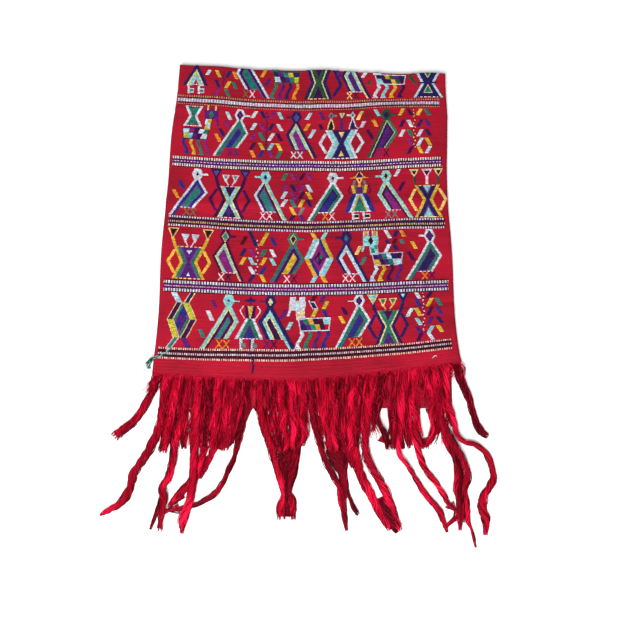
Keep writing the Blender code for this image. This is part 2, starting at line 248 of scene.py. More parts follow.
def sheet_middle(across_mm, along_mm):
    """The middle of the sheet's thickness: the upper layer, half a turn, then the flat under layer."""
    across, along = np.broadcast_arrays(across_mm / HALF_MM, along_mm / 1000)
    x, y, z = upper_layer(np.minimum(along, FOLD_AT), across)
    turn = np.clip((along - FOLD_AT) / FOLD_RADIUS, 0, math.pi)
    z = np.where(along > FOLD_AT, 0.5 * THICK + FOLD_RADIUS * (1 + np.cos(turn)), z)
    y = y + FOLD_RADIUS * np.sin(turn)
    share = np.clip(along - FOLD_AT - math.pi * FOLD_RADIUS, 0, UNDER_LENGTH) / UNDER_LENGTH
    end = HEM_MIDDLE + FOLD_AT - UNDER_LENGTH
    return np.stack([x + UNDER_SHIFT * share, y * (1 - share) + end * share, z], axis=-1) - MIDDLE


def sheet_normal(across_mm, along_mm):
    """The sheet's outward direction: the cross product of a step across it and a step along it."""
    step = 0.2
    here = sheet_middle(across_mm, along_mm)
    right = sheet_middle(across_mm + step, along_mm) - here
    up = here - sheet_middle(across_mm, along_mm - step)
    normal = np.cross(right, up)
    return normal / np.linalg.norm(normal, axis=-1, keepdims=True)


def ribs(along_mm):
    """The end strips' ribs: rounded ridges a rib's pitch apart, on both ends of the sheet."""
    upper = np.abs(np.sin(math.pi * along_mm / (UPPER_RIB * 1000))) * (along_mm < END_STRIP * 1000)
    from_end = WHOLE_LENGTH * 1000 - along_mm
    under = np.abs(np.sin(math.pi * from_end / (UNDER_RIB * 1000))) * (from_end < UNDER_STRIP * 1000)
    return RIB_HEIGHT * (upper + 2 * under)


def grid_faces(rows, columns, start=0):
    """The quads of a grid of points, row after row."""
    first = start + (np.arange(rows - 1)[:, None] * columns + np.arange(columns - 1)).ravel()
    return np.stack([first, first + 1, first + columns + 1, first + columns], axis=1)


def new_piece(name, points, faces, material):
    """A smooth mesh object at the origin, from arrays of points and of four-cornered faces."""
    mesh = bpy.data.meshes.new(name)
    mesh.vertices.add(len(points))
    mesh.vertices.foreach_set("co", np.ascontiguousarray(points, np.float32).ravel())
    mesh.loops.add(faces.size)
    mesh.loops.foreach_set("vertex_index", np.ascontiguousarray(faces, np.int32).ravel())
    mesh.polygons.add(len(faces))
    mesh.polygons.foreach_set("loop_start", np.arange(0, faces.size, 4, dtype=np.int32))
    mesh.polygons.foreach_set("use_smooth", np.full(len(faces), True))
    mesh.update(calc_edges=True)
    mesh.validate()
    mesh.materials.append(material)
    piece = bpy.data.objects.new(name, mesh)
    bpy.context.scene.collection.objects.link(piece)
    return piece


def map_weave(piece, across_mm, along_mm):
    """A UV map in metres of cloth, so that a pattern on it runs with the threads."""
    layer = piece.data.uv_layers.new(name="weave")
    corner = np.empty(len(piece.data.loops), np.int32)
    piece.data.loops.foreach_get("vertex_index", corner)
    uv = np.stack([across_mm.ravel()[corner], along_mm.ravel()[corner]], axis=1) / 1000
    layer.data.foreach_set("uv", np.ascontiguousarray(uv, np.float32).ravel())


def add_node(tree, kind, **inputs):
    """A shader node with some of its sockets set, named as in new_material."""
    node = tree.nodes.new("ShaderNode" + kind)
    for name, value in inputs.items():
        node.inputs[name.replace("_", " ")].default_value = value
    return node


def wire(tree, *links):
    """Joins the nodes of a tree, each link from a node's output to a node's input."""
    for source, output, target, socket in links:
        tree.links.new(source.outputs[output], target.inputs[socket])


def add_math(tree, operation, *values):
    """A math node; each of its inputs is a number, or a node and its output's name."""
    node = add_node(tree, "Math")
    node.operation = operation
    for number, value in enumerate(values):
        if isinstance(value, float):
            node.inputs[number].default_value = value
        else:
            wire(tree, (*value, node, number))
    return node


def weave_noise(tree, place, stretch, scale=1.0, detail=2.0, roughness=0.5):
    """Noise on the weave's UV map, which is first stretched across and along."""
    spread = add_node(tree, "Mapping", Scale=(*stretch, 1))
    noise = add_node(tree, "TexNoise", Scale=scale, Detail=detail, Roughness=roughness)
    wire(tree, (place, "UV", spread, "Vector"), (spread, "Vector", noise, "Vector"))
    return noise


def cotton_cloth():
    """Red cotton: weft ribs and finer warp lines as bump, and shades that vary by thread and by patch."""
    material, tree, shader = new_material(
        "red cotton", Roughness=0.78, Specular_IOR_Level=0.12, Sheen_Weight=0.04, Sheen_Roughness=0.5)
    place = add_node(tree, "UVMap")
    place.uv_map = "weave"
    weft_ribs = add_node(tree, "TexWave", Scale=2 * math.pi / 20 / WEFT_PITCH, Distortion=0.6, Detail=1)
    weft_ribs.wave_type = "BANDS"
    weft_ribs.bands_direction = "Y"
    wire(tree, (place, "UV", weft_ribs, "Vector"))
    threads = weave_noise(tree, place, (9, 260), scale=4.0, detail=3.0, roughness=0.6)
    warp_lines = weave_noise(tree, place, (1300, 60))
    patches = weave_noise(tree, place, (1, 1), scale=9.0, detail=3.0, roughness=0.55)
    streaks = weave_noise(tree, place, (14, 1100))
    total = add_math(tree, "MULTIPLY", (threads, "Fac"), 0.25)
    total = add_math(tree, "MULTIPLY_ADD", (streaks, "Fac"), 0.35, (total, "Value"))
    total = add_math(tree, "MULTIPLY_ADD", (patches, "Fac"), 0.4, (total, "Value"))
    shades = add_node(tree, "ValToRGB")
    dark, light = shades.color_ramp.elements
    dark.position = 0.36
    dark.color = (0.13, 0.0005, 0.006, 1)
    light.position = 0.60
    light.color = (0.40, 0.003, 0.022, 1)
    height = add_math(tree, "ADD", (weft_ribs, "Fac"), (warp_lines, "Fac"))
    bump = add_node(tree, "Bump", Strength=0.55, Distance=0.0004)
    wire(tree, (total, "Value", shades, "Fac"), (shades, "Color", shader, "Base Color"),
         (height, "Value", bump, "Height"), (bump, "Normal", shader, "Normal"))
    return material


def weave_cloth():
    """The sheet on a grid whose rows are close where it is ribbed or bends."""
    mm = 1000
    fold_end = (FOLD_AT + math.pi * FOLD_RADIUS) * mm
    under_ribs_at = (WHOLE_LENGTH - UNDER_STRIP) * mm
    along = np.concatenate([
        np.arange(0, END_STRIP * mm, UPPER_RIB * mm / 4),
        np.arange(END_STRIP * mm, FOLD_AT * mm - 1, ROW_MM),
        np.linspace(FOLD_AT * mm, fold_end, FOLD_ROWS),
        np.arange(fold_end + 8, under_ribs_at, UNDER_ROW_MM),
        np.arange(under_ribs_at, WHOLE_LENGTH * mm, UNDER_RIB * mm / 4),
        [WHOLE_LENGTH * mm],
    ])[:, None]
    across = np.linspace(-HALF_MM, HALF_MM, COLUMNS + 1)[None, :]
    across, along = np.broadcast_arrays(across, along)
    outward = sheet_normal(across, np.maximum(along, 0.3)) * ribs(along)[..., None]
    under = (along > fold_end)[..., None]
    points = sheet_middle(across, along) + np.where(under, -np.minimum(outward, 0), outward)
    points[..., 2] = np.maximum(points[..., 2], 0.5 * THICK)
    cloth = new_piece("cloth_sheet", points.reshape(-1, 3), grid_faces(*across.shape), cotton_cloth())
    map_weave(cloth, across, along)
    thicken = cloth.modifiers.new("thickness", "SOLIDIFY")
    thicken.thickness = THICK
    thicken.offset = 0
    return cloth


cloth_sheet = weave_cloth()
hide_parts("cloth")
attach(cloth_sheet, "root")

# The brocade
# Figures and bands of thick soft yarn laid into the ground while it was woven, by hand, in short
# floats side by side along the weft. They are charted in mm, painted on a chart of cells, and each
# run of one colour along a weft line becomes raised floats.
LINE_MM = 1.5
CELL_MM = 0.75
CHART_TOP_MM = 507
LONGEST_FLOAT = 7
FLOAT_HEIGHT = 0.0007
FIGURE_HEIGHT = 81
DIAMOND_WIDTH = 0.66
FIGURE_DASH = 0.7
YARN_COLOURS = {
    "ground": (0.42, 0.004, 0.022),
    "white": (0.56, 0.60, 0.66),
    "pale": (0.42, 0.60, 0.66),
    "pink": (0.78, 0.52, 0.58),
    "lavender": (0.50, 0.42, 0.54),
    "rose": (0.52, 0.20, 0.40),
    "cream": (0.60, 0.58, 0.25),
    "straw": (0.76, 0.52, 0.16),
    "yellow": (0.58, 0.375, 0.035),
    "amber": (0.78, 0.46, 0.06),
    "orange": (0.638, 0.252, 0.024),
    "lime": (0.46, 0.44, 0.03),
    "bone": (0.74, 0.71, 0.66),
    "blush": (0.80, 0.50, 0.43),
    "ash": (0.58, 0.57, 0.60),
    "ochre": (0.55, 0.44, 0.18),
    "rust": (0.46, 0.25, 0.13),
    "aqua": (0.22, 0.55, 0.57),
    "teal": (0.006, 0.20, 0.17),
    "green": (0.002, 0.165, 0.115),
    "forest": (0.006, 0.068, 0.038),
    "olive": (0.13, 0.12, 0.06),
    "grey": (0.16, 0.17, 0.16),
    "slate": (0.055, 0.06, 0.24),
    "blue": (0.004, 0.024, 0.20),
    "navy": (0.006, 0.012, 0.095),
    "lilac": (0.12, 0.05, 0.25),
    "purple": (0.072, 0.013, 0.155),
    "plum": (0.030, 0.004, 0.062),
    "magenta": (0.22, 0.016, 0.17),
    "maroon": (0.065, 0.002, 0.010),
    "black": (0.012, 0.004, 0.012),
}
COLOUR_NUMBER = {name: number for number, name in enumerate(YARN_COLOURS)}

# The middles of the chart's cells, and how far across they come to lie once the cloth bows
ACROSS = (np.arange(round(2 * HALF_MM / CELL_MM))[None, :] + 0.5) * CELL_MM - HALF_MM
ALONG = (np.arange(round(CHART_TOP_MM / LINE_MM))[:, None] + 0.5) * LINE_MM
BOWED_ACROSS = ACROSS + 1000 * bend(ALONG / 1000)
chart = np.zeros((ALONG.shape[0], ACROSS.shape[1]), int)

# Where each row of figures stands along the cloth, how tall it came out on the loom and how far the
# middles of its figures sag
FigureRow = namedtuple("FigureRow", "base height sag")
FIGURE_ROWS = {
    1: FigureRow(base=455.5, height=82, sag=0),
    2: FigureRow(base=350.5, height=82.5, sag=0),
    3: FigureRow(base=248.0, height=79.5, sag=1.4),
    4: FigureRow(base=146.8, height=80.5, sag=2.2),
    5: FigureRow(base=44.0, height=82, sag=0),
}


def own_places(row, at, turned=1):
    """The chart's cells measured from a figure's middle and base; turned -1 mirrors the figure."""
    base, height, sag = FIGURE_ROWS[row]
    v = (ALONG - base) * FIGURE_HEIGHT / height
    return (BOWED_ACROSS - at) * turned, v + sag * np.sin(math.pi * v / FIGURE_HEIGHT)


def line_at(v, stations):
    """Where a broken line is at each height; its stations are (height, across) from the bottom up."""
    heights, acrosses = zip(*stations)
    return np.interp(v, heights, acrosses)


def paint(cells, colour):
    """Gives a colour to the cells."""
    chart[cells] = COLOUR_NUMBER[colour]


def between(u, v, left, right):
    """The cells between two broken lines."""
    return (v >= left[0][0]) & (v < left[-1][0]) & (u >= line_at(v, left)) & (u < line_at(v, right))


def mirrored(outline):
    """A broken line on the other side of the middle."""
    return tuple((height, -across) for height, across in outline)


def within(u, v, outline):
    """The cells between a broken line and its mirror image."""
    return (v >= outline[0][0]) & (v < outline[-1][0]) & (np.abs(u) < line_at(v, outline))


def read_layers(words):
    """Pairs of a colour and a width from words; a last colour without a width takes all that is left."""
    words = words.split()
    widths = [float(width) for width in words[1::2]] + [99.0]
    return list(zip(words[::2], widths))


def nest(u, v, left, right, layers, right_layers=""):
    """Layers one inside another: each reaches in from both lines by its own width across."""
    inside = between(u, v, left, right)
    depth_left = u - line_at(v, left)
    depth_right = line_at(v, right) - u
    for near, depth, words in (
        (depth_left <= depth_right, depth_left, layers),
        (depth_left > depth_right, depth_right, right_layers or layers),
    ):
        start = 0
        for colour, width in read_layers(words):
            paint(inside & near & (depth >= start), colour)
            start += width


def stroke(u, v, stations, width, colour):
    """A line of even width across."""
    near = np.abs(u - line_at(v, stations)) < width / 2
    paint(near & (v >= stations[0][0]) & (v < stations[-1][0]), colour)


def diamond(u, v, at, height, half, colour):
    """A small diamond, taller than wide; half is half its height."""
    paint(np.abs(u - at) / (DIAMOND_WIDTH * half) + np.abs(v - height) / half < 1, colour)


def dashes(u, v, height, ends, colour, pitch=7):
    """One weft line of dashes between two ends."""
    on = (np.mod(u, pitch) < FIGURE_DASH * pitch) & (u > ends[0]) & (u < ends[1])
    paint(on & (np.abs(v - height) < LINE_MM / 2), colour)


# A bird stands with its tail down at one side. Reach is how far out the tail goes, corner how far the
# breast, low where the breast ends, trail how many of the layers the tail has. The first foot is the
# nearer to the breast
TAIL_TOP = 14.5
BREAST_AT = 40.7
NECK_AT = 63.5
NECK_HALF = 4
EYE_AT = 71.5
Bird = namedtuple(
    "Bird", "row at looks tail reach corner low trail layers breast head eye feet belly", defaults=("",))
BIRDS = (
    Bird(5, -121, 1, -1, 38, 16.5, 2, 3, "aqua 4.6 cream 2.6 plum 3.5 purple 2 teal", "", "aqua",
         "plum 3", "orange orange"),
    Bird(5, -58, -1, 1, 40, 18, 5, 2, "navy 6.5 aqua 4.2 cream 2.8 plum", "", "navy", "cream 6",
         "purple plum"),
    Bird(5, 76, -1, -1, 36, 17.5, 1.5, 3, "white 4.2 green 6 purple 1.5 blue", "", "white",
         "navy 7.5 purple 3", "orange orange"),
    Bird(4, -130, 1, 1, 31, 18.5, 5.5, 2, "plum 3.9 cream 2.8 aqua 2.6 magenta", "", "plum",
         "straw 8.5 teal 6.5", "pink plum", "pink"),
    Bird(4, -25, 1, -1, 35, 17.5, 3.5, 3, "green 4.4 lilac 2 navy 4.5 yellow", "", "green",
         "straw 8.5 navy 6", "plum pink"),
    Bird(4, 57, -1, 1, 35, 17, 3.5, 2, "navy 4.8 pale 5.5 ground", "", "navy", "purple 7 teal 4.5",
         "pink pink", "white"),
    Bird(4, 186, -1, -1, 40, 17.5, 2.5, 3, "white 4.2 green 5.5 purple 1.5 navy", "", "white",
         "navy 9 purple 5.5", "plum orange", "white"),
    Bird(3, -180, 1, -1, 41, 18, -1, 2, "white 4.5 blue 5 lilac 2 teal", "", "white",
         "pale 7 maroon 3.5", "olive olive", "white"),
    Bird(3, -71, -1, 1, 35, 17.5, 4, 3, "aqua 4 cream 2.8 plum 3.5 lilac 2 teal",
         "pale 4.2 plum 3.5 lilac 2 teal", "aqua", "navy 4.5", "pink pink", "white"),
    Bird(3, 37, 1, -1, 41, 17.5, 0, 2, "white 4.5 green 5 plum 2.5 blue", "", "white", "pale 7 maroon 4",
         "pink orange", "white"),
    Bird(3, 122, -1, 1, 41, 14.5, 0, 3, "aqua 4.6 cream 2.3 navy 3.8 magenta", "", "aqua",
         "cream 6.5 black 5", "grey grey", "pink"),
    Bird(2, -116, 1, -1, 41.5, 15.5, -1, 3, "white 4.2 green 6 lilac 1.5 blue", "", "white",
         "navy 8.5 magenta 3.5", "purple purple"),
    Bird(2, -24, -1, 1, 36, 16, 4.5, 2, "navy 5 cream 3 aqua 2.8 magenta", "", "navy", "slate 7.5",
         "white white", "purple"),
    Bird(2, 123, 1, -1, 32, 18.5, 1, 3, "forest 4.5 cream 1.5 navy 4.2 purple",
         "green 4.5 cream 1.5 navy 4.2 purple", "forest", "navy 7 plum 4", "plum magenta"),
    Bird(1, -112.5, -1, 1, 43.5, 15, -1.5, 3, "white 4.5 navy 4.6 lilac 2 green", "", "white", "navy 6",
         "olive pink"),
    Bird(1, 65.5, -1, 1, 34, 17, 4.5, 2, "navy 4.8 cream 3.2 aqua 3.2 purple", "", "aqua", "navy 6",
         "straw plum", "pink"),
)


def weave_bird(bird):
    """A hexagon head with an eye and a beak, a nested body whose back runs on as the tail, and two
    crossed feet."""
    u, v = own_places(bird.row, bird.at, -bird.tail)
    tail_end = -NECK_HALF - (bird.reach - NECK_HALF) * (NECK_AT - TAIL_TOP) / NECK_AT
    back = ((0, -bird.reach), (TAIL_TOP, tail_end), (NECK_AT, -NECK_HALF))
    breast = ((TAIL_TOP, bird.low), (BREAST_AT, bird.corner), (NECK_AT, NECK_HALF))
    nest(u, v, back[1:], breast, bird.layers, bird.breast)
    start = 0
    depth = u - line_at(v, back)
    for colour, width in read_layers(bird.layers)[:bird.trail]:
        paint((v >= 0) & (v < TAIL_TOP) & (depth >= start) & (depth < start + width), colour)
        start += width
    if bird.belly:
        dashes(u, v, 13.8, (tail_end + start, bird.low), bird.belly, pitch=6)
    paint(within(u, v, ((62, NECK_HALF), (EYE_AT, 9), (FIGURE_HEIGHT, 5))), bird.head)
    for colour, half in read_layers(bird.eye):
        diamond(u, v, 0, EYE_AT, half, colour)
    beak = u * bird.looks * -bird.tail
    paint((np.abs(v - 71.3) < 1.4) & (beak > 7) & (beak < 17), bird.head)
    for foot, at in zip(bird.feet.split(), (bird.low - 1.8, bird.low - 12.3)):
        for lean in (4.4, -4.4):
            stroke(u, v, ((0, at - lean), (13, at + lean)), 2.2, foot)


for bird in BIRDS:
    weave_bird(bird)

# An urn is an hourglass with arms, handles and three-cornered flowers. Base, waist and top are its half
# widths over the arms, which are its first layer; reach is how far its handles stand out. Where tips is
# given, its arms go on up to two outer flowers there. Tall is its height's share of the others'
WAIST_AT = 28.5
URN_TOP_AT = 53.5
Urn = namedtuple(
    "Urn", "row at tall base waist top layers edge handles reach tips left right inner",
    defaults=("", 0, 0, "", "", ""))
URNS = (
    Urn(5, 119.5, 1.02, 20.5, 9.5, 22.5, "navy 5.2 cream 2.5 green 6.5 plum", "grey", "navy", 31, 23,
        "cream 2.2 aqua", "navy 4.5 pale", "straw 2 green"),
    Urn(4, -184, 1.0, 25.5, 13.5, 24.5, "yellow 5.2 green 4.8 lilac 2.2 purple", "straw", "amber", 34, 27,
        "straw 2 forest 1 black", "straw 2 forest 1 black", "white 1 pale"),
    Urn(3, -126.8, 1.02, 24.5, 10.5, 22, "plum 5.5 cream 3 aqua 4.5 plum", "pink", "plum", 33, 23,
        "plum 3 slate", "plum 3 slate", "white 2.6 grey"),
    Urn(3, 187.5, 1.02, 22, 7.5, 20.5, "yellow 5 navy 7 lilac 2 aqua", "straw", "straw", 30.5),
    Urn(2, 50, 0.93, 27, 15, 27, "white 4.5 aqua 6.8 purple 1.5 navy", "white", "white", 36.5),
    Urn(1, 11, 1.0, 24, 12.8, 22, "navy 6 cream 2.3 forest 7 plum", "straw"),
    Urn(1, 193.5, 1.0, 25, 10.5, 21, "pale 4.5 navy", "pink"),
)


def flower(u, v, at, low, high, half, layers):
    """A triangle standing on its point, in layers from its sides, with a top edge of the outer one."""
    side = ((low, 0.3), (high, half))
    inside_u = np.abs(u - at)
    start = 0
    for colour, width in read_layers(layers):
        paint((inside_u < line_at(v, side) - start) & (v >= low) & (v < high - (start > 0) * 1.8), colour)
        start += width


def weave_urn(urn):
    """The hourglass in its layers, then its handles, its edges of dashes and its flowers."""
    u, v = own_places(urn.row, urn.at)
    v = v / urn.tall
    a = np.abs(u)
    outline = ((0, urn.base), (WAIST_AT, urn.waist), (URN_TOP_AT, urn.top))
    nest(u, v, mirrored(outline), outline, urn.layers)
    arms, arm_width = read_layers(urn.layers)[0]
    if urn.reach:
        handle = ((10, urn.reach - 12.5), (29, urn.reach - 2), (47, urn.reach - 11.5))
        stroke(a, v, handle, 5.2, urn.handles)
    inner_half = urn.top - arm_width
    for edge_at in (52.8, 0.7):
        dashes(u, v, edge_at, (-inner_half, inner_half), urn.edge)
    if urn.tips:
        stroke(a, v, ((53, urn.top - arm_width / 2), (66, urn.tips)), arm_width, arms)
        flower(u, v, -urn.tips, 63.5, 80, 8.9, urn.left)
        flower(u, v, urn.tips, 63.5, 80, 8.9, urn.right)
    if urn.inner:
        flower(a, v, 7.6, 59, 72.5, 6.6, urn.inner)
        stem = "pink" if urn.inner.endswith("pale") else urn.inner.split()[0]
        stroke(a, v, ((54, 2.8), (62, 7)), 2.3, stem)


for urn in URNS:
    weave_urn(urn)

# The urns' own small parts: triangles in their cores, birds and a flower on the one in row 2, three
# stemmed flowers on another, and the single handles of two
u, v = own_places(5, 119.5)
flower(u, -v, 0, -19, -1.5, 8, "purple 9")
u, v = own_places(4, -184)
flower(u, v, 0, 41, 48, 4.7, "white 9")
flower(u, -v, 0, -11, -4.5, 3.5, "white 9")
u, v = own_places(3, -126.8)
diamond(u, v, -0.5, 9, 6.5, "blue")
u, v = own_places(2, 50)
flower(u, v, 0, 36.5, 45.5, 4.8, "straw 9")
flower(u, -v, 0, -14, -5, 4.4, "straw 9")
stroke(u, v, ((50, 0), (69, 0)), 4.8, "purple")
flower(u, v, 0.5, 69, 79, 5, "cream 2.2 grey")
for at, tail, layers, head, eye, looks in (
    (-17, 4, "cream 2 black", "grey", "slate", 1), (18, 12, "white 2 navy", "white", "green", -1),
):
    left = ((50, at - 6.5), (57, at - 5.5), (69, at - 1))
    nest(u, v, left, ((50, at + tail), (54, at + 6), (69, at + 1.5)), layers)
    diamond(u, v, at, 73.5, 6.8, head)
    diamond(u, v, at, 73.5, 3.5, eye)
    paint((np.abs(v - 73.5) < 1.4) & ((u - at) * looks > 3) & ((u - at) * looks < 9.5), head)
u, v = own_places(3, 187.5)
for at, stem, low, half, layers in (
    (-20.5, "forest", 68, 7.5, "cream 2.2 black"), (0, "pink", 66, 8.5, "pink 2.2 plum"),
    (18.5, "forest", 68, 7.5, "cream 2.2 black"),
):
    stroke(u, v, ((55, at * 0.93), (70, at)), 4, stem)
    flower(u, v, at, low, 80, half, layers)
u, v = own_places(1, 11)
stroke(u, v, ((5, 25), (25, 37), (49, 26)), 6, "navy")
u, v = own_places(1, 193.5)
paint((np.abs(v - 30.5) < 1.8) & (np.abs(u) < 16), "navy")
flower(u, -v, 0, -27, -9, 8.5, "cream 1.6 green")
flower(u, v, 0, 39, 54, 8, "cream 1.6 green")
stroke(u, v, ((25, -17.5), (36, -26.5), (43, -30.5), (51, -23.5)), 5.5, "forest")

# A diamond has blunt ends, bars of two kinds on its four sides, a nested core, two arms and two feet;
# of the arms and of the feet the left one's colour comes first
Big = namedtuple("Big", "row at low high blunt spread bar edged bars rings second core arms feet")
BIG_DIAMONDS = (
    Big(5, -190.5, 14, 66, 10.5, 14.3, 8.8, 1.6, "plum lime", 4.5, "green lilac", "purple", "pale plum",
        "teal purple"),
    Big(4, 15, 11, 72, 8.5, 10.5, 6.5, 0, "aqua yellow", 4.8, "white blue", "magenta", "yellow aqua",
        "aqua yellow"),
)
WIDEST_AT = 41.5
WIDEST_HALF = 22.5
for big in BIG_DIAMONDS:
    u, v = own_places(big.row, big.at)
    outline = ((big.low, big.blunt), (WIDEST_AT, WIDEST_HALF), (big.high, big.blunt))
    inside = within(u, v, outline)
    depth = line_at(v, outline) - np.abs(u)
    rising = (u < 0) == (v > WIDEST_AT)
    paint(inside, "cream")
    for where, bar, second in zip((rising, ~rising), big.bars.split(), big.second.split()):
        paint(inside & where & (depth > big.edged) & (depth < big.bar), bar)
        paint(inside & where & (depth >= big.bar + big.edged), second)
    core = big.bar + big.edged + big.rings
    paint(inside & (depth > core), big.core)
    limbs = zip(
        big.arms.split() + big.feet.split(), (big.high, big.high, 0, 0), (81, 81, big.low, big.low),
        (-5, 5.5, -big.spread, big.spread), (-big.spread, big.spread, -5.5, 5))
    for colour, low, high, start, end in limbs:
        limb = ((low, start), (high, end))
        edge, inner = {"teal": ("white", "teal"), "plum": ("cream", "navy")}.get(colour, (colour, ""))
        stroke(u, v, limb, 9 if big.edged else 6.5, edge)
        if inner:
            stroke(u, v, limb, 5.5, inner)
u, v = own_places(5, -190.5)
diamond(u, v, 1.5, 50, 10, "blue")
diamond(u, v, -4, 34, 8, "blue")
u, v = own_places(4, 15)
diamond(u, v, 0, 41, 12, "plum")
diamond(u, v, 3, 44, 5, "green")
diamond(u, v, -2.5, 39, 4.5, "slate")
diamond(u, v, -1, 45, 3.5, "maroon")

# A horse has a body of slanted cells, a neck, a head with two ears, and four legs. Wide, tall and high
# are the shares of the others' size that its width, its body and its head's top have
Horse = namedtuple("Horse", "row at faces wide tall high outline upper lower head neck ears legs")
HORSES = (
    Horse(5, 8, 1, 1.0, 0.985, 0.985, "white", "purple green yellow plum maroon aqua",
          "navy purple teal yellow plum ground", "white pale", "white straw", "white 9",
          "white green purple blue"),
    Horse(4, 119, 1, 0.97, 1.0, 1.0, "lavender", "navy purple green pale navy plum",
          "yellow plum purple green pale pale", "aqua black", "aqua teal", "pale 9 orange 5",
          "pale yellow plum purple"),
    Horse(2, -185.5, -1, 0.9, 0.95, 1.06, "navy", "green white plum magenta pale",
          "white plum purple aqua lime", "purple green", "yellow pale", "straw 3.5",
          "magenta green yellow blue"),
    Horse(1, -43.5, 1, 0.94, 1.0, 1.0, "forest", "navy purple teal lime navy",
          "pale plum purple green lime", "green teal", "green teal", "green 9",
          "green purple navy orange"),
    Horse(1, 130, 1, 1.06, 1.0, 1.0, "white", "plum navy yellow forest purple navy",
          "aqua plum navy yellow forest plum", "white teal", "white teal", "white 9",
          "white aqua yellow plum"),
)


def weave_horse(horse):
    """The horse, drawn facing left in its own frame."""
    u, v = own_places(horse.row, horse.at, horse.faces)
    u = u / horse.wide
    v = np.interp(v, (-90, 0, 47 * horse.tall, 81 * horse.high, 190), (-90, 0, 47, 81, 190))
    left = ((26.5, -20), (47, -24.5))
    right = ((26.5, 23), (47, 25.5))
    paint(between(u, v, left, right), horse.outline)
    slant = -0.3 * (v - 37)
    for low, high, words in ((28, 37, horse.lower), (37, 45.5, horse.upper)):
        cells = words.split()
        share = (u - slant - line_at(v, left) - 2) / (line_at(v, right) - line_at(v, left) - 4)
        share = np.clip(share * len(cells), 0, len(cells) - 0.01)
        inside = (u > line_at(v, left) + 1.6) & (u < line_at(v, right) - 1.6) & (v >= low) & (v < high)
        for number, colour in enumerate(cells):
            paint(inside & (share >= number) & (share < number + 1), colour)
    for colour, at in zip(horse.legs.split(), (-20, -7.5, 5.5, 18.5)):
        stroke(u, v, ((3, at - 4), (8, at - 3.5), (20.5, at + 3.5), (27, at + 1.5)), 5.4, colour)
        paint(between(u, v, ((0, at - 8.5), (4.5, at - 6)), ((0, at + 2), (4.5, at - 1))), colour)
    head, eye = horse.head.split()
    neck, patch = horse.neck.split()
    stroke(u, v, ((45, -19.5), (62, -21.5)), 13.5, horse.outline)
    stroke(u, v, ((46, -19.5), (62, -21.5)), 10.5, neck)
    paint(between(u, v, ((48, -24), (55, -25)), ((48, -19), (55, -20))), patch)
    paint(between(u, v, ((53, -19), (60, -20)), ((53, -14.5), (60, -15.5))), patch)
    paint(between(u, v, ((60, -37.5), (68, -38), (74, -37)), ((60, -14), (68, -12.5), (74, -13))), head)
    stroke(u, v, ((50.5, -39), (61, -36)), 3.8, head)
    for ear in (-32.5, -18.5):
        for colour, width in read_layers(horse.ears):
            stroke(u, v, ((73, ear), (81, ear + 0.5)), width, colour)
    diamond(u, v, -25, 66.5, 6.5, eye)


for horse in HORSES:
    weave_horse(horse)

# The big cross that the horse in row 2 carries
u, v = own_places(2, -192)
a = np.abs(u)
nest(a, v, ((48, -20), (81.5, -20)), ((48, 15), (65, 6.5), (81.5, 15)), "white 4.5 green")
for tip, mouth in ((53, 47.5), (76.5, 82)):
    paint((a < 5.3 * (v - tip) / (mouth - tip)) & (np.abs(v - 65) < 17.2), "ground")
for edge_at in (48.8, 80.3):
    dashes(u, v, edge_at, (-10, 10), "pink", pitch=4)

# The women: a nested skirt on two flagged feet; two of them have their hat, bodice and arms
Woman = namedtuple("Woman", "row at layers low high leg thick flag rim wide")
WOMEN = (
    Woman(5, -88, "white 4.8 green 6 purple 1.5 blue", (14, 21.5), (45, 7),
          "pale", 4.6, "grey", "grey", 6.5),
    Woman(3, 79.5, "blue 7.5 pale 4.2 yellow 2.2 green", (12, 24.5), (43, 12.8),
          "white", 3.6, "black", "white", 9.5),
    Woman(1, -194, "navy 5.8 cream 3.3 aqua 6 ground", (14.5, 20.5), (54, 0),
          "white", 3.6, "teal", "white", 8.5),
)
for woman in WOMEN:
    u, v = own_places(woman.row, woman.at)
    skirt = (woman.low, woman.high)
    hem, half = woman.low
    nest(u, v, mirrored(skirt), skirt, woman.layers)
    dashes(u, v, hem + 1.4, (7 - half, half - 7), "pink", pitch=5)
    for foot in (-10.5, 6.5):
        stroke(u, v, ((0, foot), (hem, foot - 0.8)), woman.thick, woman.leg)
        paint((v >= 1.5) & (v < 9) & (u > foot) & (u < foot + woman.wide), woman.rim)
        paint((v >= 3) & (v < 7.5) & (u > foot + 1.5) & (u < foot + woman.wide - 1), woman.flag)
u, v = own_places(5, -88)
flower(u, -v, 0, -80, -70, 5, "navy 9")
paint((np.abs(v - 72.5) < 2.3) & (np.abs(u) < 9.5 - np.abs(v - 72.5) * 2), "navy")
stroke(u, v, ((64, 0), (71, 0)), 2.5, "navy")
stroke(np.abs(u), v, ((45, 8), (57, 15.5), (65, 10.5)), 2.2, "pink")
paint(within(u, v, ((46, 6.5), (64, 8.5))), "plum")
paint(within(u, v, ((46, 1.2), (64, 4.2))), "ochre")
paint(within(u, v, ((50, 1), (64, 3))), "yellow")
u, v = own_places(3, 79.5)
stroke(np.abs(u), v, ((43, 14), (50, 18), (58, 14)), 2.2, "plum")
paint(within(u, v, ((43, 10), (44.8, 10))), "slate")
paint(within(u, v, ((44.5, 8), (58, 8))), "olive")
paint(within(u, v, ((44.5, 4.5), (56, 4.5))), "purple")
stroke(np.abs(u), v, ((44.5, 8), (58, 10.8)), 5, "yellow")
stroke(u, v, ((56, 0), (70, 0)), 4, "orange")
flower(u, v, 0, 60, 70, 5, "straw 2 orange")
paint((np.abs(v - 67) < 1.6) & (np.abs(u) < 1.4), "maroon")
stroke(np.abs(u), v, ((58, 9.5), (63, 8.5), (68, 7)), 4, "grey")
paint((np.abs(v - 71.2) < 1.4) & (np.abs(u) < 15 - 4 * np.abs(v - 71.2)), "orange")
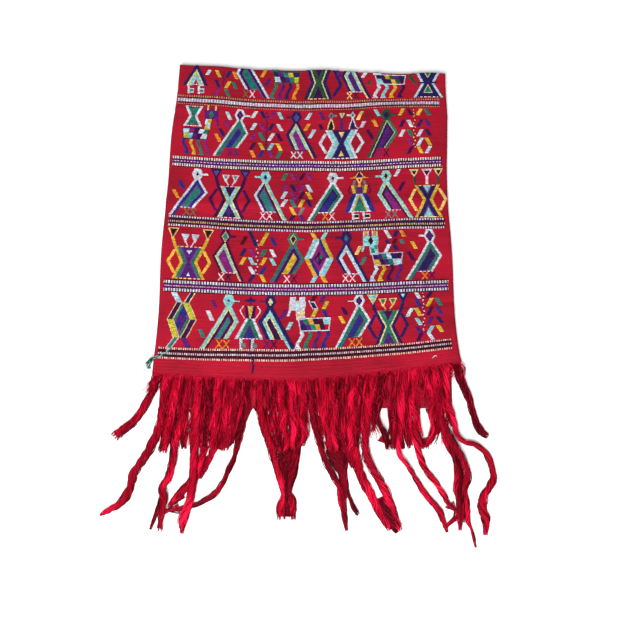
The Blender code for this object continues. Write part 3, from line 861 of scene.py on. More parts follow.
hat = ((72, 7.5), (81, 2))
nest(u, v, mirrored(hat), hat, "straw 1.8 navy")

# Plants: a stem of two twisted yarns with tiers of leaf slashes. A tier names the colours of its outer
# and inner left leaf and its inner and outer right leaf, from the bottom up; "-" is no leaf. Leaves lean
# like a roof, and those of a tier marked "v" like a valley.
LEAF_TALL = 12.2
LEAF_HALF = 3.05
LEAF_SLANT = 0.52
Tier = namedtuple("Tier", "height leaves")
Plant = namedtuple("Plant", "row at stem columns tiers")
PLANTS = (
    Plant(5, 173, ("pink", "plum"), (-21, -8, 9.5, 23.5), (
        Tier(6.5, "- plum white - v"), Tier(19, "- purple aqua yellow"), Tier(34, "- aqua purple navy"),
        Tier(49, "pale yellow plum purple"), Tier(64, "- blue yellow green"),
        Tier(76, "- white plum -"))),
    Plant(4, -80, ("pink", "maroon"), (-21.5, -7.5, 9.5, 24.5), (
        Tier(6.5, "- navy yellow - v"), Tier(19.5, "- white blue -"), Tier(35, "yellow aqua yellow aqua"),
        Tier(49, "navy magenta green white"), Tier(67, "maroon - - blue"))),
    Plant(3, -20, ("purple", "magenta"), (-20, -6.5, 7.5, 19), (
        Tier(5, "- plum purple - v"), Tier(16, "- yellow grey -"), Tier(28.5, "white teal yellow navy"),
        Tier(42.5, "pale magenta plum yellow"), Tier(54.5, "magenta navy magenta pale"),
        Tier(73, "green magenta plum magenta"))),
    Plant(2, -71.5, ("purple", "plum"), (-21, -7.5, 8, 21), (
        Tier(6.5, "orange blue magenta green v"), Tier(20, "plum yellow aqua amber"),
        Tier(36.5, "magenta green white plum"), Tier(54, "pale magenta navy white"),
        Tier(74.5, "white navy magenta aqua"))),
    Plant(2, 168, ("straw", "maroon"), (-20, -7, 9, 22), (
        Tier(9, "- plum amber pale v"), Tier(23.5, "- magenta pale yellow"),
        Tier(39, "white green white navy"), Tier(55, "plum white navy purple"),
        Tier(76, "yellow plum amber green"))),
    Plant(1, -148, ("purple", "maroon"), (-20, -9.5, 8, 19), (
        Tier(5, "- magenta green - v"), Tier(18.5, "- navy yellow green"),
        Tier(36, "- yellow navy orange"))),
)


def leaf(u, v, at, height, lean, colour, tall=LEAF_TALL):
    """A slanted slash; lean 1 leans to the right."""
    slant = lean * LEAF_SLANT * (v - height)
    paint((np.abs(v - height) < tall / 2) & (np.abs(u - at - slant) < LEAF_HALF), colour)


for plant in PLANTS:
    u, v = own_places(plant.row, plant.at)
    top = plant.tiers[-1].height + 4
    turn = (v % 6 < 3) & (v > 14) & (v < top)
    wave = 1.2 * np.sin(v * 0.55)
    paint(turn & (np.abs(u - wave) < 0.9), plant.stem[0])
    paint(~turn & (v > 14) & (v < top) & (np.abs(u - wave) < 0.9), plant.stem[1])
    for tier in plant.tiers:
        words = tier.leaves.split()
        side = -1 if words[-1] == "v" else 1
        for at, lean, colour in zip(plant.columns, (1, -1, 1, -1), words):
            if colour != "-":
                leaf(u, v, at, tier.height, lean * side, colour)

# Single leaves between the figures, row by row
Leaf = namedtuple("Leaf", "at height lean colour tall", defaults=(LEAF_TALL,))
LEAVES = {
    5: (
        (-143, 65, -1, "purple", 10), (-148, 48, -1, "white", 15), (-159, 22, -1, "teal"),
        (-38, 52, 1, "purple"), (-28.5, 34.5, 1, "aqua"), (54, 56, -1, "plum"), (50, 42.5, -1, "yellow"),
        (5.5, 67, -1, "white"), (7, 66.5, -1, "navy"), (8.5, 66, -1, "white", 11),
        (7, 66.5, -1, "navy", 9), (25, 66, 1, "lime"), (8.5, 54, 1, "lime"), (24.5, 52.5, -1, "blue"),
        (21.5, 77, 1, "purple"), (8, 78, 1, "maroon"),
    ),
    4: (
        (75, 52.5, 1, "straw", 13.5), (82, 35.5, 1, "teal"), (156, 40, -1, "plum", 14),
        (161, 58, -1, "yellow"), (121.5, 75.5, -1, "white"), (134, 75.5, 1, "navy", 10),
        (144.5, 75.5, -1, "orange", 9), (120.5, 63.5, -1, "navy", 6.5), (143, 63.5, -1, "teal", 6.5),
        (131.5, 64, 1, "maroon", 6.5), (120, 54, 1, "white"), (132, 55, -1, "navy", 9),
        (-87.5, 70.5, -1, "navy", 21), (-70, 70.5, 1, "yellow", 19),
    ),
    3: (
        (-204.5, 52, -1, "blue"), (-212.5, 36, -1, "orange", 16), (140, 76, 1, "white"),
        (146, 52, 1, "plum", 15),
    ),
    2: (
        (-134.5, 69, -1, "pale"), (-136, 54.5, -1, "magenta", 10), (-143, 39, -1, "navy", 13),
        (-149.5, 30.5, -1, "orange"), (-4, 74, 1, "pale"), (-6, 55, 1, "orange"), (2, 43, 1, "pale", 14),
        (17.5, 73.5, -1, "purple"), (16, 55.5, -1, "plum", 8.5), (80, 73, 1, "straw", 14),
        (84, 57, 1, "lavender", 10), (108, 76, -1, "aqua"), (104, 58, -1, "orange", 13),
        (96, 39.5, -1, "plum", 16),
    ),
    1: (
        (-174, 37.5, 1, "pale", 8.5), (-81, 43, 1, "orange", 13), (-74.5, 27, 1, "purple", 12),
        (88, 46, 1, "white", 15), (94.5, 29, 1, "forest", 8), (45, 43, -1, "purple", 12),
    ),
}
for row, leaves in LEAVES.items():
    for values in leaves:
        one = Leaf(*values)
        u, v = own_places(row, one.at)
        leaf(u, v, 0, one.height, one.lean, one.colour, one.tall)

# The bands, by how far along the cloth their middles lie: solid lines, and lines of short upright
# dashes, given by how far above the band's middle they start and end, their colour, the colour between
# the dashes, and the dashes' pitch
BandLine = namedtuple("BandLine", "low high colour gap pitch", defaults=("", 0))
BAND_LINES = {
    34: (
        (-9.0, -6.0, "blush", "maroon", 3.3), (-6.0, 6.0, "maroon"), (-4.5, -3.0, "black"),
        (-1.5, 1.5, "ash", "plum", 3.2), (3.0, 4.5, "black"), (6.0, 9.0, "blush", "maroon", 3.3),
    ),
    135.5: (
        (-9.7, -8.2, "maroon"), (-8.2, -3.7, "white", "plum", 4.2),
        (-3.7, 3.7, "purple", "magenta", 1.8), (-3.7, -2.2, "plum"), (-0.7, 0.8, "pink", "plum", 2.6),
        (2.2, 3.7, "plum"), (3.7, 8.2, "white", "plum", 4.2), (8.2, 9.7, "maroon"),
    ),
    237.5: (
        (-8.2, -5.2, "white", "plum", 4.0), (-5.2, 6.0, "plum"), (-1.5, 1.5, "ochre", "black", 3.4),
        (3.0, 4.5, "maroon"), (-4.5, -3.0, "maroon"), (6.0, 9.0, "white", "plum", 4.0),
    ),
    338: (
        (-9.7, -8.2, "maroon"), (-8.2, -3.8, "bone", "maroon", 3.9), (-3.8, 3.8, "purple"),
        (-3.8, -2.3, "plum"), (-0.8, 0.8, "pink", "purple", 5.25), (2.3, 3.8, "plum"),
        (3.8, 8.2, "bone", "maroon", 3.9), (8.2, 9.2, "maroon"),
    ),
    444.5: (
        (-8.2, -6.0, "rust", "maroon", 3.75), (-4.5, -3.0, "black"), (-3.0, 3.0, "white", "rose", 4.6),
        (3.0, 4.5, "black"), (6.0, 8.2, "rust", "maroon", 3.75),
    ),
}
BAND_ENDS = (-220.5, 211.5)
DASH_SHARE = 0.62
between_ends = (BOWED_ACROSS > BAND_ENDS[0]) & (BOWED_ACROSS < BAND_ENDS[1])
wavering = ACROSS + 0.4 * np.sin(ACROSS / 17)
for band, lines in BAND_LINES.items():
    for values in lines:
        line = BandLine(*values)
        on_line = between_ends & (ALONG > band + line.low) & (ALONG < band + line.high)
        paint(on_line, line.gap or line.colour)
        if line.pitch:
            paint(on_line & (np.mod(wavering, line.pitch) < DASH_SHARE * line.pitch), line.colour)


def floats_of(first_line, last_line):
    """The chart's runs between two weft lines, cut into floats: line, start and end cell, colour."""
    part = chart[first_line:last_line]
    edges = np.diff(part, axis=1, prepend=-1) != 0
    lines, starts = np.nonzero(edges)
    ends = np.append(starts[1:], part.shape[1])
    ends[ends == 0] = part.shape[1]
    colours = part[lines, starts]
    used = colours > 0
    lines, starts, ends, colours = lines[used] + first_line, starts[used], ends[used], colours[used]
    phase = (lines * 3) % LONGEST_FLOAT
    cuts = (ends - 1 + phase) // LONGEST_FLOAT - (starts + phase) // LONGEST_FLOAT + 1
    which = np.repeat(np.arange(len(starts)), cuts)
    number = np.arange(len(which)) - np.repeat(np.cumsum(cuts) - cuts, cuts)
    cut_at = ((starts[which] + phase[which]) // LONGEST_FLOAT + number) * LONGEST_FLOAT - phase[which]
    begin = np.maximum(starts[which], cut_at)
    end = np.minimum(ends[which], cut_at + LONGEST_FLOAT)
    return lines[which], begin, end, colours[which]


def brocade_yarn():
    """Soft cotton floss in the colour that each float carries, a little glossy, with fine plies."""
    material, tree, shader = new_material("brocade floss", Roughness=0.65, Specular_IOR_Level=0.08)
    colour = add_node(tree, "VertexColor")
    colour.layer_name = "floss"
    place = add_node(tree, "TexCoord")
    plies = add_node(tree, "TexNoise", Scale=900.0, Detail=2.0, Roughness=0.6)
    level = add_node(tree, "MapRange", To_Min=0.82, To_Max=1.14)
    shade = add_node(tree, "VectorMath")
    shade.operation = "SCALE"
    bump = add_node(tree, "Bump", Strength=0.3, Distance=0.0002)
    wire(tree, (place, "Object", plies, "Vector"), (plies, "Fac", level, "Value"),
         (colour, "Color", shade, 0), (level, "Result", shade, "Scale"),
         (shade, "Vector", shader, "Base Color"), (plies, "Fac", bump, "Height"),
         (bump, "Normal", shader, "Normal"))
    return material


def colour_points(piece, name, colours):
    """A colour attribute with one value for each point."""
    layer = piece.data.color_attributes.new(name, "FLOAT_COLOR", "POINT")
    four = np.concatenate([colours, np.ones((len(colours), 1))], axis=1)
    layer.data.foreach_set("color", np.ascontiguousarray(four, np.float32).ravel())


def weave_floats(name, first_mm, last_mm, material, seed):
    """One piece of floats. A float is a low ridge: four corners on the cloth and four on its back,
    which stands in by a quarter of its width; its ends dip into the cloth."""
    lines, begin, end, colours = floats_of(round(first_mm / LINE_MM), round(last_mm / LINE_MM))
    draw = np.random.default_rng(seed)
    count = len(lines)
    start = begin * CELL_MM - HALF_MM + draw.uniform(-0.10, 0.10, count)
    stop = end * CELL_MM - HALF_MM + draw.uniform(-0.10, 0.10, count)
    middle = (lines + 0.5) * LINE_MM + draw.uniform(-0.07, 0.07, count)
    high = FLOAT_HEIGHT * draw.uniform(0.8, 1.2, count)
    dip = np.minimum(0.5, (stop - start) * 0.3)
    edge, crown = 0.53 * LINE_MM, 0.27 * LINE_MM
    inner, outer = start + dip, stop - dip
    across = np.stack([start, stop, start, stop, inner, outer, inner, outer], axis=1)
    along = middle[:, None] + np.array([-edge, -edge, edge, edge, -crown, -crown, crown, crown])
    lift = 0.5 * THICK + high[:, None] * np.array([-0.3, -0.3, -0.3, -0.3, 1, 1, 1, 1])
    along = np.minimum(along, CHART_TOP_MM)
    points = sheet_middle(across, along) + sheet_normal(across, along) * lift[..., None]
    one = np.array([(0, 1, 5, 4), (4, 5, 7, 6), (6, 7, 3, 2), (0, 4, 6, 2), (1, 3, 7, 5)])
    faces = (np.arange(count)[:, None, None] * 8 + one).reshape(-1, 4)
    piece = new_piece(name, points.reshape(-1, 3), faces, material)
    palette = np.array(list(YARN_COLOURS.values()))[colours]
    palette = palette * draw.uniform(0.60, 1.22, (count, 1))
    colour_points(piece, "floss", np.repeat(palette, 8, axis=0))
    return piece


floss = brocade_yarn()
BROCADE_PIECES = (
    ("brocade_row_5", 24, 129), ("brocade_row_4", 129, 228), ("brocade_row_3", 228, 330),
    ("brocade_row_2", 330, 436.5), ("brocade_row_1", 436.5, CHART_TOP_MM),
)
for seed, (name, first_mm, last_mm) in enumerate(BROCADE_PIECES):
    brocade = weave_floats(name, first_mm, last_mm, floss, seed)
    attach(brocade, "root")

# The loose ends of the brocade
# Three ends of floss that were never trimmed: a green and white one, teased out where it leaves the
# cloth at the left, a navy one that trails down over the last band, and a white fleck.
ENDS_LIFT_MM = 1.6


def tubes(centres, side, radius):
    """Three-sided tubes round centre lines: centres (yarns, steps, 3), side (steps, 2)."""
    yarns, steps = centres.shape[:2]
    corner = np.radians([90, 210, 330])
    out = np.zeros((steps, 3, 3))
    out[..., :2] = side[:, None, :] * np.cos(corner)[None, :, None]
    out[..., 2] = np.sin(corner)
    points = centres[:, :, None, :] + radius[:, :, None, None] * out
    first = np.arange(yarns)[:, None, None] * steps * 3 + np.arange(steps - 1)[None, :, None] * 3
    k = np.arange(3)[None, None, :]
    after = (k + 1) % 3
    faces = np.stack([first + k, first + after, first + after + 3, first + k + 3], axis=-1)
    return points.reshape(-1, 3), faces.reshape(-1, 4)


def on_cloth(*stations):
    """Places on the upper layer, given as across and along in mm."""
    across, along = np.array(stations, float).T[:, None, :]
    return (sheet_middle(across, along) + sheet_normal(across, along) * ENDS_LIFT_MM / 1000)[0]


def on_floor(*stations):
    """Places beside the cloth, given as across, up the plan and height in mm."""
    return np.array(stations, float) / 1000 - MIDDLE


def run_along(line):
    """How far each place of a line is from its start, along the line."""
    return np.concatenate([[0], np.cumsum(np.linalg.norm(np.diff(line, axis=0), axis=1))])


def left_of(places):
    """The directions on the plan that point to the left of a line, one for each of its places."""
    way = np.gradient(places, axis=0)
    way = way / np.linalg.norm(way, axis=1)[:, None]
    return np.stack([-way[:, 1], way[:, 0]], axis=1)


def loose_floss(line, count, radius, spread, seed):
    """A few yarns that wind round one another along a line, and part a little at its end."""
    draw = np.random.default_rng(seed)
    run = run_along(line)
    at = np.linspace(0, run[-1], 8 * len(line))
    middle = np.stack([np.interp(at, run, line[:, axis]) for axis in range(3)], axis=1)
    side = left_of(middle[:, :2])
    first_angle = draw.uniform(0, 2 * math.pi, (count, 1))
    angle = first_angle + 2 * math.pi * at[None, :] / draw.uniform(0.006, 0.014, (count, 1))
    offset = spread * np.cos(angle) * np.linspace(0.6, 1.4, len(at))
    flat = middle[None, :, :2] + offset[..., None] * side[None, :, :]
    height = middle[None, :, 2:] + 0.5 * radius * np.sin(angle)[..., None]
    return tubes(np.concatenate([flat, height], axis=-1), side, radius * np.ones_like(offset))


def join_parts(parts):
    """The points, faces and point values of several parts, as those of one."""
    points, faces, values = zip(*parts)
    starts = np.cumsum([0] + [len(some) for some in points[:-1]])
    faces = [some + start for some, start in zip(faces, starts)]
    return np.concatenate(points), np.concatenate(faces), np.concatenate(values)


LooseEnd = namedtuple("LooseEnd", "colour count radius spread line")
LOOSE_ENDS = (
    LooseEnd("green", 4, 0.00055, 0.0010, on_cloth((-200, 41), (-207, 34), (-214, 29), (-223, 25))),
    LooseEnd("white", 3, 0.00045, 0.0015, on_cloth((-201, 42), (-210, 33), (-217, 28), (-223, 26))),
    LooseEnd("forest", 18, 0.00030, 0.0030, np.concatenate([
        on_cloth((-221, 26), (-226, 23)), on_floor((-234, 20, 1.6), (-239, 14, 1.0))])),
    LooseEnd("green", 12, 0.00030, 0.0024, on_floor((-231, 23, 2.6), (-237, 14, 1.2), (-236, 8, 0.8))),
    LooseEnd("white", 3, 0.00030, 0.0006, on_floor((-233, 18, 2.0), (-241, 10, 1.0), (-245, -1, 0.6))),
    LooseEnd("navy", 3, 0.00060, 0.0008, on_cloth(
        (-84, 58), (-83, 40), (-79, 28), (-77.5, 16), (-79, 7))),
    LooseEnd("white", 4, 0.00040, 0.0010, on_cloth((182, 14), (186, 16), (189, 15))),
)
parts = []
for seed, end in enumerate(LOOSE_ENDS):
    points, faces = loose_floss(end.line, end.count, end.radius, end.spread, seed)
    parts.append((points, faces, np.tile(YARN_COLOURS[end.colour], (len(points), 1))))
points, faces, colours = join_parts(parts)
loose_ends = new_piece("loose_brocade_ends", points, faces, floss)
colour_points(loose_ends, "floss", colours)
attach(loose_ends, "root")

# The fringe
# The warp's ends, left unwoven at both hems: soft shiny cotton yarns that handling has gathered into
# flat twisted locks, short ones in a dense row and long ones that wander over the floor. Each lock is
# a bundle of yarns; the lower fringe lies under the upper one, 43 mm further out.
UPPER_ROOT = 14
LOWER_ROOT = 12
LOCK_PITCH_MM = 15.3
UPPER_LOCKS_AT = 0.0029
HALF_LOCK = 0.0013
LOCK_CLEARANCE = 0.0002
LOWEST_YARN = 0.0001
STRAY_RADIUS = 0.00022
STRAYS_BETWEEN = (-190, 205)
STRAYS_OVER = 0.0003
STRAY_STEPS = 9
YARN_RADIUS = 0.00062
YARNS_PER_MM = 1.7
LOOSE_PER_MM = 1.3
LOOSE_STEP_MM = 4
LOOSE_LOW = 0.0006
LOOSE_DEPTH = 0.0014
STEP_ALONG_LOCK = 0.004
CURVE_STEPS = 12
GATHERED_BY = 0.016
RISES_BY = 0.008
COMES_DOWN_MM = 30
TURN_LENGTH = 0.075
WAVE = 0.0019
WAVE_LENGTH = 0.046
WANDER = 0.0006
CORE_WIDTH = 0.78
CORE_HEIGHT = 0.8
# The core's shade is painted shade: it stands for the unlit yarns inside the bundle
CORE_SHADE = 0.4

# A short lock goes from its root to its knee, half way to its reach, and then to its tip
Short = namedtuple("Short", "root knee knee_width tip tip_width reach")
UPPER_SHORT = (
    Short(-192, -198, 10, -209, 13, -115), Short(-146, -146, 12, -149, 10, -106),
    Short(-131, -133, 12, -138, 9, -110), Short(-115, -119, 12, -126, 9, -110),
    Short(-100, -105, 11, -115, 8, -112), Short(-85, -92, 11, -104, 8, -108),
    Short(-54, -50, 12, -40, 8, -106), Short(-39, -35, 12, -29, 9, -113),
    Short(-24, -21, 12, -19, 9, -113), Short(-9, -5, 13, -6, 9, -105), Short(22, 24, 12, 32, 8, -108),
    Short(37, 38, 12, 42, 8, -113), Short(52, 51, 12, 52, 9, -117), Short(68, 64, 11, 62, 9, -113),
    Short(83, 76, 9, 73, 8, -106), Short(114, 103, 11, 119, 8, -111), Short(129, 128, 8, 127, 8, -110),
    Short(160, 156, 12, 166, 9, -110), Short(175, 184, 8, 176, 8, -109),
)
LOWER_SHORT = (
    Short(-212, -210, 11, -212, 10, -112), Short(-181, -180, 12, -179, 8, -109),
    Short(-152, -150, 11, -151, 8, -109), Short(-121, -119, 10, -121, 8, -113),
    Short(-107, -107, 9, -111, 7, -105), Short(-63, -56, 10, -49, 8, -110),
    Short(-49, -44, 10, -40, 7, -113), Short(-34, -32, 10, -30, 8, -117),
    Short(-20, -21, 9, -22, 7, -86), Short(10, 17, 10, 25, 8, -109), Short(25, 30, 10, 36, 9, -113),
    Short(41, 42, 10, 42, 8, -90), Short(87, 87, 9, 86, 8, -90), Short(99, 97, 8, 98, 7, -84),
    Short(128, 128, 9, 124, 8, -110), Short(140, 139, 10, 137, 8, -109),
    Short(182, 185, 8, 174, 8, -108), Short(207, 209, 7, 211, 6, -77),
)

# A long lock winds through its stations: across, up the plan, and its width there. An upper one lies on
# the lower ones until it has come down to the floor at "down".
Lock = namedtuple("Lock", "down stations")
UPPER_LONG = (
    Lock(-60, ((-222, 0, 14), (-226, -13, 15), (-229, -28, 14), (-237, -44, 13), (-245, -58, 13),
        (-257, -72, 14), (-270, -82, 15), (-281, -93, 15))),
    Lock(-150, ((-207, -2, 14), (-210, -28, 14), (-214, -69, 14), (-219, -89, 15), (-232, -116, 15),
        (-248, -141, 14), (-252, -155, 15), (-256, -170, 15), (-270, -188, 12), (-295, -201, 6))),
    Lock(-228, ((-176, -3, 14), (-178, -31, 13), (-189, -85, 12), (-194, -126, 12), (-198, -148, 13),
        (-204, -156, 11), (-207, -165, 11), (-204, -181, 13), (-206, -194, 11), (-209, -224, 8))),
    Lock(-228, ((-161, -4, 14), (-161, -74, 14), (-163, -139, 14), (-163, -153, 15), (-167, -181, 14),
        (-173, -201, 17), (-176, -211, 17), (-177, -227, 5))),
    Lock(-155, ((-69, -7, 14), (-71, -31, 12), (-70, -48, 13), (-63, -76, 13), (-53, -105, 13),
        (-43, -139, 12), (-37, -156, 10), (-34, -170, 7), (-34, -181, 11), (-37, -192, 14),
        (-36, -208, 12))),
    Lock(-155, ((7, -6, 14), (9, -56, 12), (11, -76, 11), (20, -106, 10), (31, -134, 11), (46, -161, 10),
        (48, -175, 11), (52, -192, 12), (57, -223, 5))),
    Lock(-155, ((98, 3, 14), (93, -28, 12), (88, -56, 13), (86, -82, 13), (85, -110, 13), (90, -129, 13),
        (110, -163, 14), (117, -179, 14), (128, -212, 13), (134, -223, 8))),
    Lock(-150, ((144, 7, 14), (140, -31, 12), (136, -82, 11), (133, -103, 9), (135, -120, 7),
        (145, -132, 7), (161, -158, 8), (169, -171, 9), (188, -195, 10), (193, -206, 10),
        (200, -225, 5))),
    Lock(-170, ((190, 14, 14), (191, -16, 12), (193, -45, 12), (196, -67, 12), (211, -98, 12),
        (225, -122, 10), (230, -137, 10), (231, -151, 12), (227, -165, 10), (229, -179, 9),
        (229, -196, 9), (230, -210, 8), (234, -220, 4), (239, -246, 4))),
    Lock(-115, ((206, 16, 14), (206, -16, 12), (207, -42, 12), (212, -60, 11), (220, -90, 9),
        (231, -99, 8), (244, -103, 8), (261, -117, 11), (269, -142, 10), (268, -154, 12),
        (256, -171, 12), (252, -183, 15), (252, -196, 16), (255, -208, 14), (253, -229, 7))),
    Lock(-45, ((221, 18, 14), (225, -1, 16), (232, -20, 16), (238, -35, 13), (245, -63, 11),
        (250, -77, 13), (256, -85, 14), (265, -90, 9))),
)
LOWER_LONG = [Lock(None, stations) for stations in (
    ((-197, -44, 13), (-194, -67, 12), (-193, -90, 11), (-197, -137, 10), (-204, -156, 9),
     (-207, -174, 9), (-213, -195, 7), (-223, -221, 5)),
    ((-167, -44, 13), (-165, -67, 12), (-165, -136, 11), (-168, -153, 11), (-182, -173, 13),
     (-192, -183, 9)),
    ((-136, -44, 13), (-132, -74, 12), (-133, -103, 12), (-149, -137, 11), (-154, -151, 6)),
    ((-92, -44, 13), (-92, -60, 13), (-99, -96, 10), (-106, -123, 8), (-113, -137, 9), (-123, -160, 8),
     (-132, -172, 10), (-152, -185, 8), (-175, -191, 6), (-196, -196, 5)),
    ((-5, -44, 14), (-9, -87, 14), (-14, -107, 15), (-20, -142, 14), (-23, -156, 11), (-25, -168, 8),
     (-21, -179, 12), (-20, -192, 13), (-20, -208, 12)),
    ((57, -44, 14), (56, -74, 12), (53, -103, 13), (54, -142, 12), (56, -156, 8), (58, -170, 6),
     (68, -193, 7), (74, -201, 5)),
    ((73, -44, 14), (70, -74, 12), (69, -103, 14), (77, -143, 16), (91, -172, 15), (104, -197, 13),
     (119, -222, 9)),
    ((152, -44, 9), (151, -55, 8), (152, -73, 9), (160, -107, 11), (170, -135, 11), (185, -156, 10),
     (196, -174, 9), (207, -193, 7)),
    ((194, -44, 12), (195, -64, 11), (205, -103, 11), (213, -117, 10), (217, -132, 9), (217, -143, 10),
     (214, -165, 9), (217, -178, 8), (218, -206, 8), (218, -223, 5)),
)]

# Between the locks hang loose yarns, which lie deeper: from the first to the last place along the hem,
# and down to their reach
Loose = namedtuple("Loose", "first last reach")
UPPER_LOOSE = (
    Loose(-228, -205, -26), Loose(-205, -80, -92), Loose(-80, -62, -36), Loose(-62, -2, -96),
    Loose(-2, 20, -62), Loose(20, 84, -96), Loose(84, 112, -90), Loose(112, 124, -40),
    Loose(124, 165, -90), Loose(165, 182, -40), Loose(182, 200, -88), Loose(200, 226, -6),
)
LOWER_LOOSE = (
    Loose(-218, -100, -104), Loose(-64, -8, -104), Loose(18, 84, -100), Loose(125, 140, -100),
    Loose(182, 204, -98),
)

# Thin wisps of yarn between two locks, or at the end of one, with the stations of a lock
WISPS = [Lock(None, stations) for stations in (
    ((-34, -92, 30), (-32, -117, 26), (-31, -139, 18), (-29, -160, 12), (-28, -185, 13),
     (-28, -204, 12)),
    ((36, -96, 30), (43, -122, 24), (50, -142, 14), (53, -162, 10), (54, -184, 7), (55, -200, 5)),
    ((60, -96, 22), (64, -120, 10), (66, -136, 4)),
    ((104, -178, 6), (111, -192, 12), (120, -208, 16), (130, -225, 11)),
    ((206, -92, 12), (213, -115, 9), (221, -140, 9), (222, -165, 9), (222, -190, 8), (225, -212, 8)),
    ((-180, -172, 12), (-190, -183, 11), (-199, -190, 9)),
    ((-182, -192, 7), (-192, -195, 7), (-203, -199, 5)),
    ((-149, -104, 14), (-152, -122, 12), (-158, -146, 8), (-162, -163, 5)),
    ((-83.5, -42, 8), (-86, -56, 5), (-89, -68, 4)),
    ((-75.5, -42, 8), (-73, -56, 5), (-68, -70, 4)),
    ((124, -42, 8), (121.5, -66, 8), (120, -90, 8)),
    ((108, -91, 4), (115, -97, 9), (124, -99, 12), (134, -92, 9)),
    ((147, -46, 7), (147, -68, 9), (147, -90, 12), (150, -108, 10)),
    ((156, -90, 9), (166, -98, 11), (177, -97, 11), (187, -87, 9)),
    ((217, -200, 8), (209, -209, 7), (200, -219, 5)),
    ((204, -186, 7), (211, -196, 7), (218, -204, 7)),
)]


def upper_hem(x):
    """Where the upper hem lies up the plan."""
    return HEM_MIDDLE + weft_lift(0.0, np.clip(x / HALF_AT_HEM, -1, 1))


def under_hem(x):
    """Where the under hem lies: it is straight."""
    return HEM_MIDDLE + FOLD_AT - UNDER_LENGTH + 0 * x


def smooth_line(stations):
    """A Catmull-Rom curve through a lock's stations, in even steps: places, widths, left, and run."""
    p = np.array(stations, float) / 1000
    p = np.concatenate([[2 * p[0] - p[1]], p, [2 * p[-1] - p[-2]]])
    t = np.linspace(0, 1, CURVE_STEPS, endpoint=False)[:, None]
    pieces = []
    for a, b, c, d in zip(p, p[1:], p[2:], p[3:]):
        cubic = (3 * b - a - 3 * c + d) * t**3
        pieces.append(0.5 * (2 * b + (c - a) * t + (2 * a - 5 * b + 4 * c - d) * t**2 + cubic))
    line = np.concatenate(pieces + [p[-2:-1]])
    run = run_along(line[:, :2])
    at = np.linspace(0, run[-1], round(run[-1] / STEP_ALONG_LOCK) + 1)
    x, y, width = (np.interp(at, run, line[:, k]) for k in range(3))
    places = np.stack([x, y], axis=1)
    return places, width, left_of(places), at


def all_locks(short, long, hem, widest_root):
    """The long locks, and the short ones with the stations that their three widths give."""
    locks = []
    for lock in long:
        root, *rest = lock.stations
        locks.append(Lock(lock.down, ((root[0], hem(root[0] / 1000) * 1000, root[2]), *rest)))
    for lock in short:
        start = hem(lock.root / 1000) * 1000
        knee = (lock.knee, (start + lock.reach) / 2, lock.knee_width)
        root = (lock.root, start, min(widest_root, lock.knee_width + 2))
        locks.append(Lock(None, (root, knee, (lock.tip, lock.reach, lock.tip_width))))
    return locks


